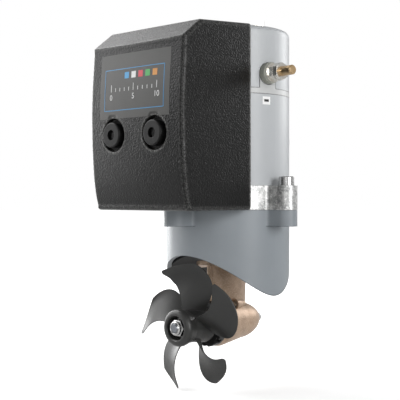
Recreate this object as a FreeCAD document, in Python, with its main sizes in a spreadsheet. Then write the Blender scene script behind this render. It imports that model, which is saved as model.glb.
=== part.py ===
import FreeCAD, Part
import math
import os
import re
import Sketcher

# Bow thruster for a tunnel of 110 mm bore: a direct-current motor stands on a saddle on top of the
# tunnel and turns a five-bladed propeller through bevel gears in a bronze leg inside the tunnel.
#
# +Z is up along the motor shaft and Y runs along the tunnel. The origin is where the motor axis and
# the tunnel axis cross. The propeller and the control cover face -Y, the battery stud faces +X.
# All lengths are in millimetres and all angles in degrees.

V = FreeCAD.Vector
X_AXIS = V(1, 0, 0)
Y_AXIS = V(0, 1, 0)
Z_AXIS = V(0, 0, 1)

# ---------------------------------------------------------------- driving dimensions

SIZES = {
    # tunnel and fits
    "tunnel_radius": 55,            # inside of the tunnel
    "tunnel_wall": 5,
    "fit": 0.05,                    # radial running clearance
    # motor
    "motor_radius": 54,
    "yoke_wall": 4,
    "yoke_foot": 119.5,
    "yoke_head": 196.3,
    "band_head": 201.6,
    "cap_head": 254,
    "cap_wall": 4,
    "cap_plate": 7,
    "cap_round": 5,
    "spigot_foot": 190,
    "shaft_radius": 7.5,
    "shaft_head": 246,
    "bearing_radius": 17.5,
    "bearing_width": 11,
    "lower_bearing_foot": 113.5,
    "upper_bearing_foot": 236,
    "core_radius": 30,
    "core_foot": 134,
    "core_head": 180,
    "slot_count": 12,
    "slot_depth": 11,
    "slot_width": 6,
    "end_turn": 7,
    "pole_gap": 0.8,                # air gap between armature and pole shoes
    "pole_width": 25.8,
    "shoe_depth": 5,
    "shoe_angle": 68,
    "coil_width": 40,
    "coil_depth": 9,
    "commutator_radius": 17.5,
    "commutator_foot": 189,
    "commutator_head": 207,
    "brush_plate_foot": 207.5,
    "brush_plate_thickness": 2.5,
    "brush_plate_radius": 41.5,
    "brush_length": 15,
    "brush_width": 12,
    "brush_height": 10,
    "brush_foot": 193,
    "through_bolt_place": 36,
    "through_bolt_radius": 2.5,
    "through_head": 7.6,
    "through_head_flats": 8,
    "pole_screw_height": 158,
    "pole_screw_radius": 7.5,
    # terminals
    "stud_height": 213.7,
    "stud_radius": 4.2,
    "thread_radius": 4,
    "battery_angle": 81,            # about Z, from the front towards +X
    "field_angle": 22,
    "insulator_radius": 8.9,
    "notch_half_width": 9.2,
    "nut_flats": 13,
    "nut_height": 5.2,
    "washer_radius": 8,
    "washer_sheet": 1.2,
    "insulator_inside": 46,         # inner face of the insulator's flange
    "insulator_shoulder": 48.4,
    "stud_inside": 42.8,            # inner end of the stud's head
    # brackets
    "bracket_foot": 99,
    "ear_place": 66,
    "ear_radius": 9.2,
    "ear_depth": 13.7,
    "ear_fillet": 3,
    "skirt_wall": 4,
    "floor_top_radius": 72,         # cylinders about the tunnel axis
    "floor_under_radius": 68,
    "pad_face_radius": 62,
    "pad_half_length": 38,
    "boss_radius": 27,
    "boss_head": 74,
    "ear_screw_radius": 4,
    "ear_screw_head": 6.5,
    "ear_screw_head_height": 7.6,
    # gear leg
    "neck_radius": 13.5,
    "neck_head": 70,
    "flange_half_width": 20,
    "flange_half_length": 30,
    "flange_thickness": 4,
    "strut_front": -25.5,
    "strut_back": 22.5,
    "strut_half_thickness": 9,
    "rib_half_width": 2.3,
    "pod_front": -22,
    "pod_front_radius": 19.3,
    "pod_belly": -16,
    "pod_belly_radius": 20.3,
    "dome_start": 11,
    "dome_radius": 16.2,
    "tail_end": 36,
    "tail_radius": 6.1,
    "leg_screw_place": 19,
    "leg_screw_radius": 3,
    # drive shaft and gears
    "drive_shaft_radius": 5,
    "drive_shaft_head": 85.8,
    "pinion_seat_radius": 3.5,
    "gear_module": 1.25,
    "pinion_teeth": 13,
    "crown_teeth": 20,
    "face_width": 4.5,
    "backlash": 0.3,
    "chamber_radius": 14.6,
    "leg_bearing_radius": 11,
    "leg_bearing_foot": 56,
    "leg_bearing_width": 6,
    "bush_radius": 7,
    "bush_foot": 17,
    "bush_head": 30,
    "plug_radius": 3.4,
    "plug_across": 12.2,
    "plug_height": 16.2,
    "coupling_radius": 19,
    "jaw_inner": 9.5,
    "jaw_half_angle": 23,
    "spider_foot": 86.4,
    "spider_height": 7.2,
    # propeller shaft
    "propeller_shaft_radius": 5,
    "journal_radius": 4,
    "shaft_nose": -67.5,
    "shaft_step": -56.5,
    "shaft_tail": 21,
    "front_bearing_radius": 13,
    "front_bearing_start": -20,
    "front_bearing_width": 8,
    "rear_bearing_radius": 11,
    "rear_bearing_start": 13.8,
    "rear_bearing_width": 7,
    "seal_radius": 11,
    "pin_radius": 2,
    "pin_half_length": 9,
    "pin_station": -34,
    # propeller
    "blade_count": 5,
    "blade_tip_radius": 53,
    "hub_radius": 15.6,
    "hub_waist": 13.6,
    "hub_round": 4,
    "hub_nose": -66,
    "hub_back": -31,
    "hub_mouth_radius": 10,
    "blade_pitch": 120,
    "blade_thickness": 3.2,
    "tip_thickness": 1.4,
    # cover
    "cover_width": 109,
    "cover_back": -32.2,
    "cover_foot": 99,
    "cover_wall": 3,
    "cover_corner": 3.2,
    "cover_round": 3,
    "cover_rim": 4.5,               # straight part of the walls above the foot
    "cover_front": -111.5,          # front face at the knobs
    "roof_front_head": 222,
    "roof_crest": -90,
    "roof_crest_head": 248.6,
    "roof_back_head": 253.5,
    "crown": 1.2,
    "knob_place": 24.2,
    "knob_height": 160.3,
    "knob_radius": 10.25,
    "recess_radius": 13.7,
    "recess_floor": -106.5,
    "knob_face": -115.4,
    "cover_stud_radius": 4,
    # contactors
    "contactor_place": 22,
    "contactor_depth": -84,
    "contactor_radius": 19,
    "shelf_height": 172,
    "sheet": 2,
    "plate_face": -57,
    "can_height": 36,
    "contact_cap_height": 12,
    "plunger_radius": 7.5,
    "contact_radius": 3,
    "bar_thickness": 1.8,
}

doc = FreeCAD.newDocument("bow_thruster")
sheet = doc.addObject("Spreadsheet::Sheet", "Sizes")
for row, (name, number) in enumerate(SIZES.items(), start=1):
    sheet.set(f"A{row}", name)
    sheet.set(f"B{row}", str(number))
    sheet.setAlias(f"B{row}", name)
doc.recompute()

WORD = re.compile(r"[a-z_]+")
NODES = {}

# Heights and radii that follow from the sheet, as expressions of its cells.
SADDLE = "(tunnel_radius + tunnel_wall)"
YOKE_BORE = "(motor_radius - yoke_wall)"
SHOE_BORE = "(core_radius + pole_gap)"
CAP_BORE = "(motor_radius - cap_wall)"
FULL_TURN = 360


def bound(text):
    """Return an expression in which each cell name is written as Sizes.name."""
    return WORD.sub(lambda found: "Sizes." + found[0] if found[0] in SIZES else found[0], str(text))


def value(text):
    """Return the number that an expression of cell names gives."""
    return float(sheet.evalExpression(bound(text).replace("Sizes.", "")))


def bind(item, name, text):
    """Bind one property of a document object to an expression of cell names."""
    item.setExpression(name, bound(text))


def place(item, x=0, y=0, z=0, turn=None):
    """Place an object; each coordinate is an expression, turn is an axis and an angle."""
    if turn:
        item.Placement = FreeCAD.Placement(V(), FreeCAD.Rotation(turn[0], turn[1]))
    for name, text in (("x", x), ("y", y), ("z", z)):
        if text:
            bind(item, f".Placement.Base.{name}", text)
    return item


# ---------------------------------------------------------------- sketches and features

def body(label, group=False):
    """Return a new body; a group holds several separate solids."""
    made = doc.addObject("PartDesign::Body", label)
    made.AllowCompound = group
    return made


def origin_feature(owner, role):
    """Return one of a body's own origin planes or axes."""
    return next(item for item in owner.Origin.OriginFeatures if item.Role == role)


def sketch(owner, role, offset=0):
    """Return a sketch on one of the body's origin planes, lifted along its normal."""
    drawing = owner.newObject("Sketcher::SketchObject", owner.Name + "_sketch")
    drawing.AttachmentSupport = [(origin_feature(owner, role), "")]
    drawing.MapMode = "FlatFace"
    if offset:
        bind(drawing, ".AttachmentOffset.Base.z", offset)
    return drawing


def pin(drawing, kind, geometry, point, text):
    """Hold one coordinate of a sketch point at an expression."""
    number = value(text)
    if abs(number) < 1e-9:
        axis = -2 if kind == "DistanceX" else -1
        drawing.addConstraint(Sketcher.Constraint("PointOnObject", geometry, point, axis))
    elif number > 0:
        held = drawing.addConstraint(Sketcher.Constraint(kind, -1, 1, geometry, point, number))
        bind(drawing, f"Constraints[{held}]", text)
    else:
        held = drawing.addConstraint(Sketcher.Constraint(kind, geometry, point, -1, 1, -number))
        bind(drawing, f"Constraints[{held}]", f"-({text})")


def arc_between(start, end, radius):
    """Return the minor arc from start to end, which bulges left of travel if radius > 0.

    A sketch counts an arc's ends anticlockwise, so the numbers of the arc's first and last point in
    the order of travel are returned with it.
    """
    chord = end - start
    half = chord.Length / 2
    left = V(-chord.y, chord.x, 0).normalize()
    depth = math.sqrt(max(radius * radius - half * half, 0))
    centre = start + chord * 0.5 - left * math.copysign(depth, radius)
    first, last = (end, start) if radius > 0 else (start, end)
    angles = [math.atan2(spot.y - centre.y, spot.x - centre.x) for spot in (first, last)]
    if angles[1] < angles[0]:
        angles[1] += 2 * math.pi
    ring = Part.Circle(centre, Z_AXIS, abs(radius))
    return Part.ArcOfCircle(ring, *angles), (2, 1) if radius > 0 else (1, 2)


def outline(drawing, points):
    """Draw a closed outline. A point is (x, y), or (x, y, radius) where an arc leaves it."""
    first = drawing.GeometryCount
    spots = [V(value(point[0]), value(point[1]), 0) for point in points]
    count = len(points)
    ends = []
    for index, point in enumerate(points):
        after = spots[(index + 1) % count]
        if len(point) == 3:
            edge, order = arc_between(spots[index], after, value(point[2]))
        else:
            edge, order = Part.LineSegment(spots[index], after), (1, 2)
        drawing.addGeometry(edge, False)
        ends.append(order)
    for index, point in enumerate(points):
        edge = first + index
        after = (index + 1) % count
        joint = Sketcher.Constraint("Coincident", edge, ends[index][1], first + after, ends[after][0])
        drawing.addConstraint(joint)
        pin(drawing, "DistanceX", edge, ends[index][0], point[0])
        pin(drawing, "DistanceY", edge, ends[index][0], point[1])
        if len(point) == 3:
            held = drawing.addConstraint(Sketcher.Constraint("Radius", edge, abs(value(point[2]))))
            bind(drawing, f"Constraints[{held}]", f"abs({point[2]})")
    return drawing


def circle(drawing, x, y, radius):
    """Draw a circle whose centre and radius are expressions."""
    spot = V(value(x), value(y), 0)
    ring = drawing.addGeometry(Part.Circle(spot, Z_AXIS, value(radius)), False)
    held = drawing.addConstraint(Sketcher.Constraint("Radius", ring, value(radius)))
    bind(drawing, f"Constraints[{held}]", radius)
    pin(drawing, "DistanceX", ring, 3, x)
    pin(drawing, "DistanceY", ring, 3, y)
    return drawing


def revolve(owner, drawing, axis, cut=False):
    """Turn a sketch about its own horizontal or vertical axis, as solid or as groove."""
    kind = "PartDesign::Groove" if cut else "PartDesign::Revolution"
    feature = owner.newObject(kind, owner.Name + "_turn")
    feature.Profile = drawing
    feature.ReferenceAxis = (drawing, [axis])
    feature.Angle = FULL_TURN
    return feature


def pad(owner, drawing, length, midplane=False, reverse=False):
    """Extrude a sketch as solid."""
    feature = owner.newObject("PartDesign::Pad", owner.Name + "_pad")
    feature.Profile = drawing
    bind(feature, "Length", length)
    feature.Midplane = midplane
    feature.Reversed = reverse
    return feature


def ring_pattern(owner, features, count, axis="Z_Axis"):
    """Repeat features round one of the body's own axes."""
    pattern = owner.newObject("PartDesign::PolarPattern", owner.Name + "_ring")
    pattern.Originals = features
    pattern.Axis = (origin_feature(owner, axis), [""])
    pattern.Angle = FULL_TURN
    bind(pattern, "Occurrences", count)
    owner.Tip = pattern
    return pattern


def upright(label, points):
    """Return a body turned about Z from (radius, height) points."""
    made = body(label)
    revolve(made, outline(sketch(made, "XZ_Plane"), points), "V_Axis")
    return made


def level(label, points):
    """Return a body turned about Y from (station, radius) points."""
    made = body(label)
    revolve(made, outline(sketch(made, "YZ_Plane"), points), "H_Axis")
    return made


def radial(label, points, angle, height):
    """Return a body turned about a level axis, from (distance, radius) points, at an angle from -Y."""
    made = body(label)
    revolve(made, outline(sketch(made, "XZ_Plane"), points), "H_Axis")
    return place(made, z=height, turn=(Z_AXIS, value(angle) - 90))


def tube(inner, outer, start, end):
    """Return the rectangle of a tube's section as (radius, height) points."""
    return [(inner, start), (outer, start), (outer, end), (inner, end)]


def lying(points):
    """Swap each point's coordinates, so that a section lies along Y; its arcs keep their bulge."""
    return [(point[1], point[0], *(f"-({arc})" for arc in point[2:])) for point in points]


# ---------------------------------------------------------------- primitives and booleans

def cylinder(name, radius, length, x=0, y=0, z=0, turn=None):
    """Return a cylinder that starts at a place and points along +Z, or as turned."""
    made = doc.addObject("Part::Cylinder", name)
    bind(made, "Radius", radius)
    bind(made, "Height", length)
    return place(made, x, y, z, turn)


def box(name, low, high):
    """Return a box between two corners given as expressions."""
    made = doc.addObject("Part::Box", name)
    for side, start, end in zip(("Length", "Width", "Height"), low, high):
        bind(made, side, f"({end}) - ({start})")
    return place(made, *low)


def hexagon(name, flats, length, x=0, y=0, z=0, turn=None):
    """Return a hexagonal prism with a given size across flats."""
    made = doc.addObject("Part::Prism", name)
    made.Polygon = 6
    bind(made, "Circumradius", f"({flats}) / sqrt(3)")
    bind(made, "Height", length)
    return place(made, x, y, z, turn)


def join(name, items):
    """Return the union of several objects."""
    made = doc.addObject("Part::MultiFuse", name)
    made.Shapes = items
    made.Refine = True
    return made


def cut(name, base, tool):
    """Return the base less the tool."""
    made = doc.addObject("Part::Cut", name)
    made.Base = base
    made.Tool = tool
    made.Refine = True
    return made


def overlap(name, items):
    """Return what several objects share."""
    made = doc.addObject("Part::MultiCommon", name)
    made.Shapes = items
    made.Refine = True
    return made


def gather(name, items):
    """Return a group of separate solids."""
    made = doc.addObject("Part::Compound", name)
    made.Links = items
    return made


def formed(name, shape, x=0, y=0, z=0):
    """Return a free-form object that holds a shape made by Part's own functions."""
    made = doc.addObject("Part::Feature", name)
    made.Shape = shape
    return place(made, x, y, z)


def node(name, item):
    """Name an object as one node of the part."""
    item.Label = name
    NODES[name] = item
    return item


def turned_about_z(name, item, angle):
    """Return a copy of an object, turned about the motor axis and bound to the original."""
    made = doc.addObject("Part::Compound", name)
    made.Links = [item]
    return place(made, turn=(Z_AXIS, angle))


def ear_points():
    """Return the outline of a round-ended ear along +X, with a fillet where it leaves the ring."""
    root = "motor_radius - 8"
    ratio = "motor_radius / (motor_radius + ear_fillet)"
    out = "(ear_radius + ear_fillet)"
    along = f"sqrt((motor_radius + ear_fillet)^2 - {out}^2)"
    round_end = "-ear_radius * 1.0001"
    return [
        (root, f"-{out} * {ratio}"),
        (f"{along} * {ratio}", f"-{out} * {ratio}", "ear_fillet"),
        (along, "-ear_radius"),
        ("ear_place", "-ear_radius", round_end),
        ("ear_place + ear_radius", "0", round_end),
        ("ear_place", "ear_radius"),
        (along, "ear_radius", "ear_fillet"),
        (f"{along} * {ratio}", f"{out} * {ratio}"),
        (root, f"{out} * {ratio}"),
    ]


# ---------------------------------------------------------------- motor

def motor_housing():
    """Steel yoke tube with countersunk holes for the pole screws."""
    yoke = upright("yoke", tube(YOKE_BORE, "motor_radius", "yoke_foot", "yoke_head"))
    holes = []
    for index in range(4):
        hole = radial(f"pole_screw_hole_{index}", pole_screw_points("fit"), str(45 + 90 * index),
                      "pole_screw_height")
        holes.append(hole)
    node("motor_housing", cut("housing_cut", yoke, gather("pole_screw_holes", holes)))


def pole_screw_points(gap):
    """Return the section of a countersunk pole screw, from inside the yoke to its flush head."""
    return [
        ("motor_radius - yoke_wall - 8", "0"),
        ("motor_radius - yoke_wall - 8", f"pole_screw_radius / 2 + {gap}"),
        ("motor_radius - yoke_wall", f"pole_screw_radius / 2 + {gap}"),
        ("motor_radius - 0.6", f"pole_screw_radius + {gap}"),
        (f"motor_radius + ({gap}) * 2 - 0.4", f"pole_screw_radius + {gap}"),
        (f"motor_radius + ({gap}) * 2 - 0.4", "0"),
    ]


def pole_screws():
    """Four slotted countersunk screws that hold the pole shoes to the yoke."""
    screws = []
    for index in range(4):
        screw = radial(f"pole_screw_{index}", pole_screw_points("0"), "90", "pole_screw_height")
        slot = box(f"pole_screw_slot_{index}", ("motor_radius - 2", "-5.5", "pole_screw_height - 0.8"),
                   ("motor_radius + 2", "5.5", "pole_screw_height + 0.8"))
        slotted = cut(f"slotted_screw_{index}", screw, slot)
        screws.append(turned_about_z(f"set_screw_{index}", slotted, 45 + 90 * index - 90))
    node("pole_screws", gather("pole_screw_group", screws))


def motor_end_cap():
    """Cast cap with a rounded top edge, a bearing boss and notches for the terminal studs."""
    outer = "motor_radius"
    cap = upright("end_cap", [
        ("bearing_radius", "upper_bearing_foot"),
        ("bearing_radius + 4", "upper_bearing_foot"),
        ("bearing_radius + 4", "cap_head - cap_plate"),
        (CAP_BORE, "cap_head - cap_plate"),
        (CAP_BORE, "band_head + 0.4"),
        (f"{CAP_BORE} - 3", "band_head - 2.6"),
        (f"{CAP_BORE} - 3", "spigot_foot"),
        (f"{YOKE_BORE} - fit", "spigot_foot"),
        (f"{YOKE_BORE} - fit", "yoke_head"),
        ("motor_radius - 1.3", "yoke_head"),
        ("motor_radius - 1.3", "band_head"),
        (outer, "band_head"),
        (outer, "cap_head - cap_round", "-cap_round"),
        ("motor_radius - cap_round", "cap_head"),
        ("0", "cap_head"),
        ("0", "upper_bearing_foot + bearing_width"),
        ("bearing_radius", "upper_bearing_foot + bearing_width"),
    ])
    cuts = []
    for index, angle in enumerate(("battery_angle", "field_angle", "-field_angle")):
        cuts.append(stud_notch(index, angle))
    slit = box("slit_block", ("motor_radius - 6", "-0.7", "band_head - 0.2"),
               ("motor_radius + 2", "0.7", "band_head + 4.4"))
    cuts.append(slit)
    for index, side in enumerate(("", "-")):
        cuts.append(cylinder(f"bolt_hole_{index}", "through_bolt_radius + 0.2", "60",
                             f"{side}through_bolt_place", 0, "cap_head - 50"))
    node("motor_end_cap", cut("cap_cut", cap, join("cap_cuts", cuts)))


def stud_notch(index, angle):
    """Return the round-topped notch in the cap's lower rim that a terminal insulator sits in."""
    hole = cylinder(f"notch_round_{index}", "notch_half_width", "30", "motor_radius - 15", 0,
                    "stud_height", (Y_AXIS, 90))
    side = box(f"notch_side_{index}", ("motor_radius - 15", "-notch_half_width", "band_head - 1"),
               ("motor_radius + 15", "notch_half_width", "stud_height"))
    notch = join(f"notch_{index}", [hole, side])
    return turned_about_z(f"notch_at_{index}", notch, value(angle) - 90)


def brush_band():
    """Ring over the joint of yoke and cap, with a tab below each terminal insulator."""
    ring = upright("band_ring", tube("motor_radius - 1.3 + fit", "motor_radius", "yoke_head", "band_head"))
    tabs = []
    for index, angle in enumerate(("battery_angle", "field_angle", "-field_angle")):
        wide = box(f"tab_block_{index}", ("motor_radius - 12", "-notch_half_width + 0.3", "yoke_head + 1"),
                   ("motor_radius + 3", "notch_half_width - 0.3", "stud_height"))
        around = cylinder(f"tab_round_{index}", "insulator_radius + 0.2", "30", "motor_radius - 15", 0,
                          "stud_height", (Y_AXIS, 90))
        tab = cut(f"tab_cut_{index}", wide, around)
        tabs.append(turned_about_z(f"tab_at_{index}", tab, value(angle) - 90))
    sleeve = upright("tab_sleeve", tube("motor_radius - 1.3 + fit", "motor_radius", "yoke_head + 1",
                                        "stud_height"))
    shaped = overlap("tab_shape", [sleeve, gather("tab_blocks", tabs)])
    node("brush_band", join("band_join", [ring, shaped]))


def drive_end_shield():
    """Plate that closes the yoke's foot and holds the lower motor bearing."""
    top = "lower_bearing_foot + bearing_width"
    shield = upright("end_shield", [
        ("9.5", "lower_bearing_foot - 1.5"),
        ("bearing_radius + 4.5", "lower_bearing_foot - 1.5"),
        ("bearing_radius + 4.5", "yoke_foot"),
        (f"{YOKE_BORE} - fit", "yoke_foot"),
        (f"{YOKE_BORE} - fit", "yoke_foot + 4.8"),
        ("bearing_radius + 6", "yoke_foot + 4.8"),
        ("bearing_radius + 4.5", top),
        ("bearing_radius", top),
        ("bearing_radius", "lower_bearing_foot"),
        ("9.5", "lower_bearing_foot"),
    ])
    holes = [cylinder(f"shield_hole_{index}", "through_bolt_radius", "9", f"{side}through_bolt_place", 0,
                      "yoke_foot - 1") for index, side in enumerate(("", "-"))]
    node("drive_end_shield", cut("shield_cut", shield, join("shield_holes", holes)))


def bearing(name, make, inner, outer, start, width):
    """Name a ball bearing drawn as one ring with a groove round each face between its races."""
    third = f"(({outer}) - ({inner})) / 3"
    groove = "0.8"
    end = f"{start} + {width}"
    points = [
        (f"{inner} + fit", start),
        (f"{inner} + {third}", start),
        (f"{inner} + {third}", f"{start} + {groove}"),
        (f"{outer} - {third}", f"{start} + {groove}"),
        (f"{outer} - {third}", start),
        (outer, start),
        (outer, end),
        (f"{outer} - {third}", end),
        (f"{outer} - {third}", f"{end} - {groove}"),
        (f"{inner} + {third}", f"{end} - {groove}"),
        (f"{inner} + {third}", end),
        (f"{inner} + fit", end),
    ]
    ring = upright(name, points) if make is upright else level(name, lying(points))
    return ring


def motor_bearings():
    """Two ball bearings of the same size, one at each end of the motor shaft."""
    pair = [
        bearing("lower_ring", upright, "shaft_radius", "bearing_radius", "lower_bearing_foot",
                "bearing_width"),
        bearing("upper_ring", upright, "shaft_radius", "bearing_radius", "upper_bearing_foot",
                "bearing_width"),
    ]
    node("motor_bearings", gather("motor_bearing_pair", pair))


def pole_shoes():
    """Four laminated poles: a curved shoe round the armature and a core inside the field coil."""
    poles = body("poles", group=True)
    half = "shoe_angle / 2"
    inner = SHOE_BORE
    outer = f"({SHOE_BORE} + shoe_depth)"
    foot = f"sqrt({outer}^2 - (pole_width / 2)^2)"
    head = f"sqrt(({YOKE_BORE} - fit)^2 - (pole_width / 2)^2)"
    drawing = outline(sketch(poles, "XY_Plane", "core_foot - 2"), [
        (f"{inner} * cos({half})", f"-{inner} * sin({half})"),
        (f"{outer} * cos({half})", f"-{outer} * sin({half})", f"-{outer}"),
        (foot, "-pole_width / 2"),
        (head, "-pole_width / 2", f"-({YOKE_BORE} - fit)"),
        (head, "pole_width / 2"),
        (foot, "pole_width / 2", f"-{outer}"),
        (f"{outer} * cos({half})", f"{outer} * sin({half})"),
        (f"{inner} * cos({half})", f"{inner} * sin({half})", inner),
    ])
    solid = pad(poles, drawing, "core_head - core_foot + 4")
    ring_pattern(poles, [solid], "4")
    return place(poles, turn=(Z_AXIS, 45))


def drilled_pole_shoes():
    """Pole shoes with the tapped holes that their screws enter."""
    holes = []
    for index in range(4):
        hole = radial(f"pole_tap_{index}", pole_screw_points("0"), str(45 + 90 * index),
                      "pole_screw_height")
        holes.append(hole)
    node("pole_shoes", cut("drilled_poles", pole_shoes(), gather("pole_taps", holes)))


def field_coils():
    """Four rectangular field coils, one round each pole core."""
    coils = body("coils", group=True)
    start = f"{SHOE_BORE} + shoe_depth + 0.4"
    drawing = sketch(coils, "YZ_Plane", start)
    half = "coil_width / 2"
    core = "(pole_width / 2 + 0.2)"
    foot = "(core_foot - 2.2)"
    head = "(core_head + 2.2)"
    thick = f"({half} - {core})"
    outline(drawing, rounded(f"-{half}", half, f"{foot} - {thick}", f"{head} + {thick}", "5"))
    outline(drawing, [(f"-{core}", foot), (core, foot), (core, head), (f"-{core}", head)])
    solid = pad(coils, drawing, "coil_depth")
    ring_pattern(coils, [solid], "4")
    node("field_coils", place(coils, turn=(Z_AXIS, 45)))


def rounded(left, right, low, high, radius):
    """Return the outline of a rectangle with rounded corners."""
    arc = f"-({radius}) * 1.00001"
    return [
        (f"{left} + {radius}", low),
        (f"{right} - {radius}", low, arc),
        (right, f"{low} + {radius}"),
        (right, f"{high} - {radius}", arc),
        (f"{right} - {radius}", high),
        (f"{left} + {radius}", high, arc),
        (left, f"{high} - {radius}"),
        (left, f"{low} + {radius}", arc),
    ]


def armature():
    """Laminated core with open slots, and the winding that fills them and turns at both ends."""
    core = body("core")
    drawing = sketch(core, "XY_Plane", "core_foot")
    circle(drawing, "0", "0", "core_radius")
    circle(drawing, "0", "0", "shaft_radius + fit")
    pad(core, drawing, "core_head - core_foot")
    slots = slot_bars("slot", "slot_width / 2 + fit", "core_radius - slot_depth - fit", "core_radius + 1")
    node("armature_core", cut("slotted_core", core, slots))
    bars = slot_bars("bar", "slot_width / 2", "core_radius - slot_depth", "core_radius - 1")
    inner = "core_radius - slot_depth"
    turns = [
        upright("lower_turns", tube(inner, "core_radius - 1", "core_foot - end_turn", "core_foot - fit")),
        upright("upper_turns", tube(inner, "core_radius - 1", "core_head + fit", "core_head + end_turn")),
    ]
    node("armature_winding", join("winding", [bars, *turns]))


def slot_bars(name, half_width, inner, outer):
    """Return bars round the motor axis, one for each armature slot."""
    bars = body(name + "_bars", group=True)
    drawing = outline(sketch(bars, "XY_Plane", "core_foot - 0.5"), [
        (inner, f"-({half_width})"),
        (outer, f"-({half_width})"),
        (outer, half_width),
        (inner, half_width),
    ])
    solid = pad(bars, drawing, "core_head - core_foot + 1")
    ring_pattern(bars, [solid], "slot_count")
    return bars


def motor_shaft():
    """Motor shaft, stepped down at the foot for the coupling."""
    node("motor_shaft", upright("motor_spindle", [
        ("0", "94.5"),
        ("5", "94.5"),
        ("6", "95.5"),
        ("6", "lower_bearing_foot - 2"),
        ("shaft_radius", "lower_bearing_foot - 2"),
        ("shaft_radius", "shaft_head"),
        ("0", "shaft_head"),
    ]))
    node("commutator", upright("commutator_ring", tube("shaft_radius + fit", "commutator_radius",
                                                       "commutator_foot", "commutator_head")))


def brush_gear():
    """Brush plate with four boxes, and the brushes and springs that they hold."""
    plate_head = "brush_plate_foot + brush_plate_thickness"
    plate = upright("plate_ring", tube("commutator_radius + 4", "brush_plate_radius", "brush_plate_foot",
                                       plate_head))
    pillars = []
    holes = []
    for index, side in enumerate(("", "-")):
        spot = f"{side}through_bolt_place"
        pillars.append(cylinder(f"pillar_{index}", "through_bolt_radius + 2",
                                "cap_head - cap_plate - brush_plate_foot - 0.1", spot, 0,
                                "brush_plate_foot + 0.1"))
        holes.append(cylinder(f"pillar_hole_{index}", "through_bolt_radius + 0.2", "60", spot, 0,
                              "brush_plate_foot - 10"))
    start = "commutator_radius + 2"
    end = "commutator_radius + brush_length + 8"
    boxes = body("brush_boxes", group=True)
    wide = "brush_width / 2"
    drawing = outline(sketch(boxes, "YZ_Plane", start), [
        (f"-({wide} + 1.5)", "brush_foot - 1.5"),
        (f"{wide} + 1.5", "brush_foot - 1.5"),
        (f"{wide} + 1.5", "brush_plate_foot + 0.1"),
        (f"-({wide} + 1.5)", "brush_plate_foot + 0.1"),
    ])
    outline(drawing, channel("fit"))
    solid = pad(boxes, drawing, f"({end}) - ({start})")
    ring_pattern(boxes, [solid], "4")
    place(boxes, turn=(Z_AXIS, 45))
    holder = join("brush_holder", [plate, boxes, *pillars])
    node("brush_plate", cut("drilled_holder", holder, join("pillar_holes", holes)))
    brushes = body("brush_blocks", group=True)
    drawing = outline(sketch(brushes, "YZ_Plane", "commutator_radius + 0.5"), channel("0"))
    solid = pad(brushes, drawing, "brush_length")
    ring_pattern(brushes, [solid], "4")
    node("brushes", place(brushes, turn=(Z_AXIS, 45)))
    springs = []
    for index in range(4):
        coil = radial(f"brush_spring_{index}", [
            ("commutator_radius + 0.5 + brush_length", "2.6"),
            (end, "2.6"),
            (end, "3.6"),
            ("commutator_radius + 0.5 + brush_length", "3.6"),
        ], str(45 + 90 * index), "brush_foot + brush_height / 2")
        springs.append(coil)
    node("brush_springs", gather("brush_spring_group", springs))


def channel(gap):
    """Return the section of a brush, or of its box's bore with a gap all round."""
    wide = f"(brush_width / 2 + {gap})"
    low = f"brush_foot - {gap}"
    high = f"brush_foot + brush_height + {gap}"
    return [(f"-{wide}", low), (wide, low), (wide, high), (f"-{wide}", high)]


def through_bolts():
    """Two long bolts that clamp the cap, yoke and shield together."""
    bolts = []
    for index, side in enumerate(("", "-")):
        across = f"{side}through_bolt_place"
        rod = cylinder(f"bolt_rod_{index}", "through_bolt_radius", "cap_head - yoke_foot", across, 0,
                       "yoke_foot")
        head = hexagon(f"bolt_head_{index}", "through_head_flats", "through_head", across, 0, "cap_head")
        bolts.append(join(f"through_bolt_{index}", [rod, head]))
    node("through_bolts", gather("through_bolt_pair", bolts))


# ---------------------------------------------------------------- terminals

TERMINALS = (
    # name, angle, nut stations, stud end
    ("battery", "battery_angle", ("60.9", "66.6"), "84.8"),
    ("right_field", "field_angle", ("55.6", "61.6"), "68"),
    ("left_field", "-field_angle", ("55.6", "61.6"), "68"),
)


def terminals():
    """Insulators, studs, washers and nuts of the three motor terminals."""
    insulators = []
    studs = []
    nuts = []
    for name, angle, stations, end in TERMINALS:
        seat = f"{stations[0]} - washer_sheet"
        insulators.append(radial(f"{name}_insulator", [
            ("insulator_inside", "stud_radius"),
            (seat, "stud_radius"),
            (seat, "insulator_radius - 1.1"),
            (f"{seat} - 1.1", "insulator_radius"),
            ("insulator_shoulder", "insulator_radius"),
            ("insulator_shoulder", "insulator_radius + 2"),
            ("insulator_inside", "insulator_radius + 2"),
        ], angle, "stud_height"))
        studs.append(radial(f"{name}_stud", [
            ("stud_inside", "0"),
            (end, "0"),
            (end, "thread_radius - 0.9"),
            (f"{end} - 1.1", "thread_radius"),
            (f"{stations[1]} + nut_height + 0.2", "thread_radius"),
            (f"{stations[1]} + nut_height + 0.2", "stud_radius"),
            ("insulator_inside", "stud_radius"),
            ("insulator_inside", "stud_radius + 2.5"),
            ("stud_inside", "stud_radius + 2.5"),
        ], angle, "stud_height"))
        washer = radial(f"{name}_washer", [
            (seat, "stud_radius"),
            (stations[0], "stud_radius"),
            (stations[0], "washer_radius"),
            (seat, "washer_radius"),
        ], angle, "stud_height")
        for count, station in enumerate(stations):
            nuts.append(terminal_nut(f"{name}_nut_{count}", station, angle))
        nuts.append(washer)
    node("terminal_insulators", gather("insulator_group", insulators))
    node("terminal_studs", gather("stud_group", studs))
    node("terminal_nuts", gather("nut_group", nuts))


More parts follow.
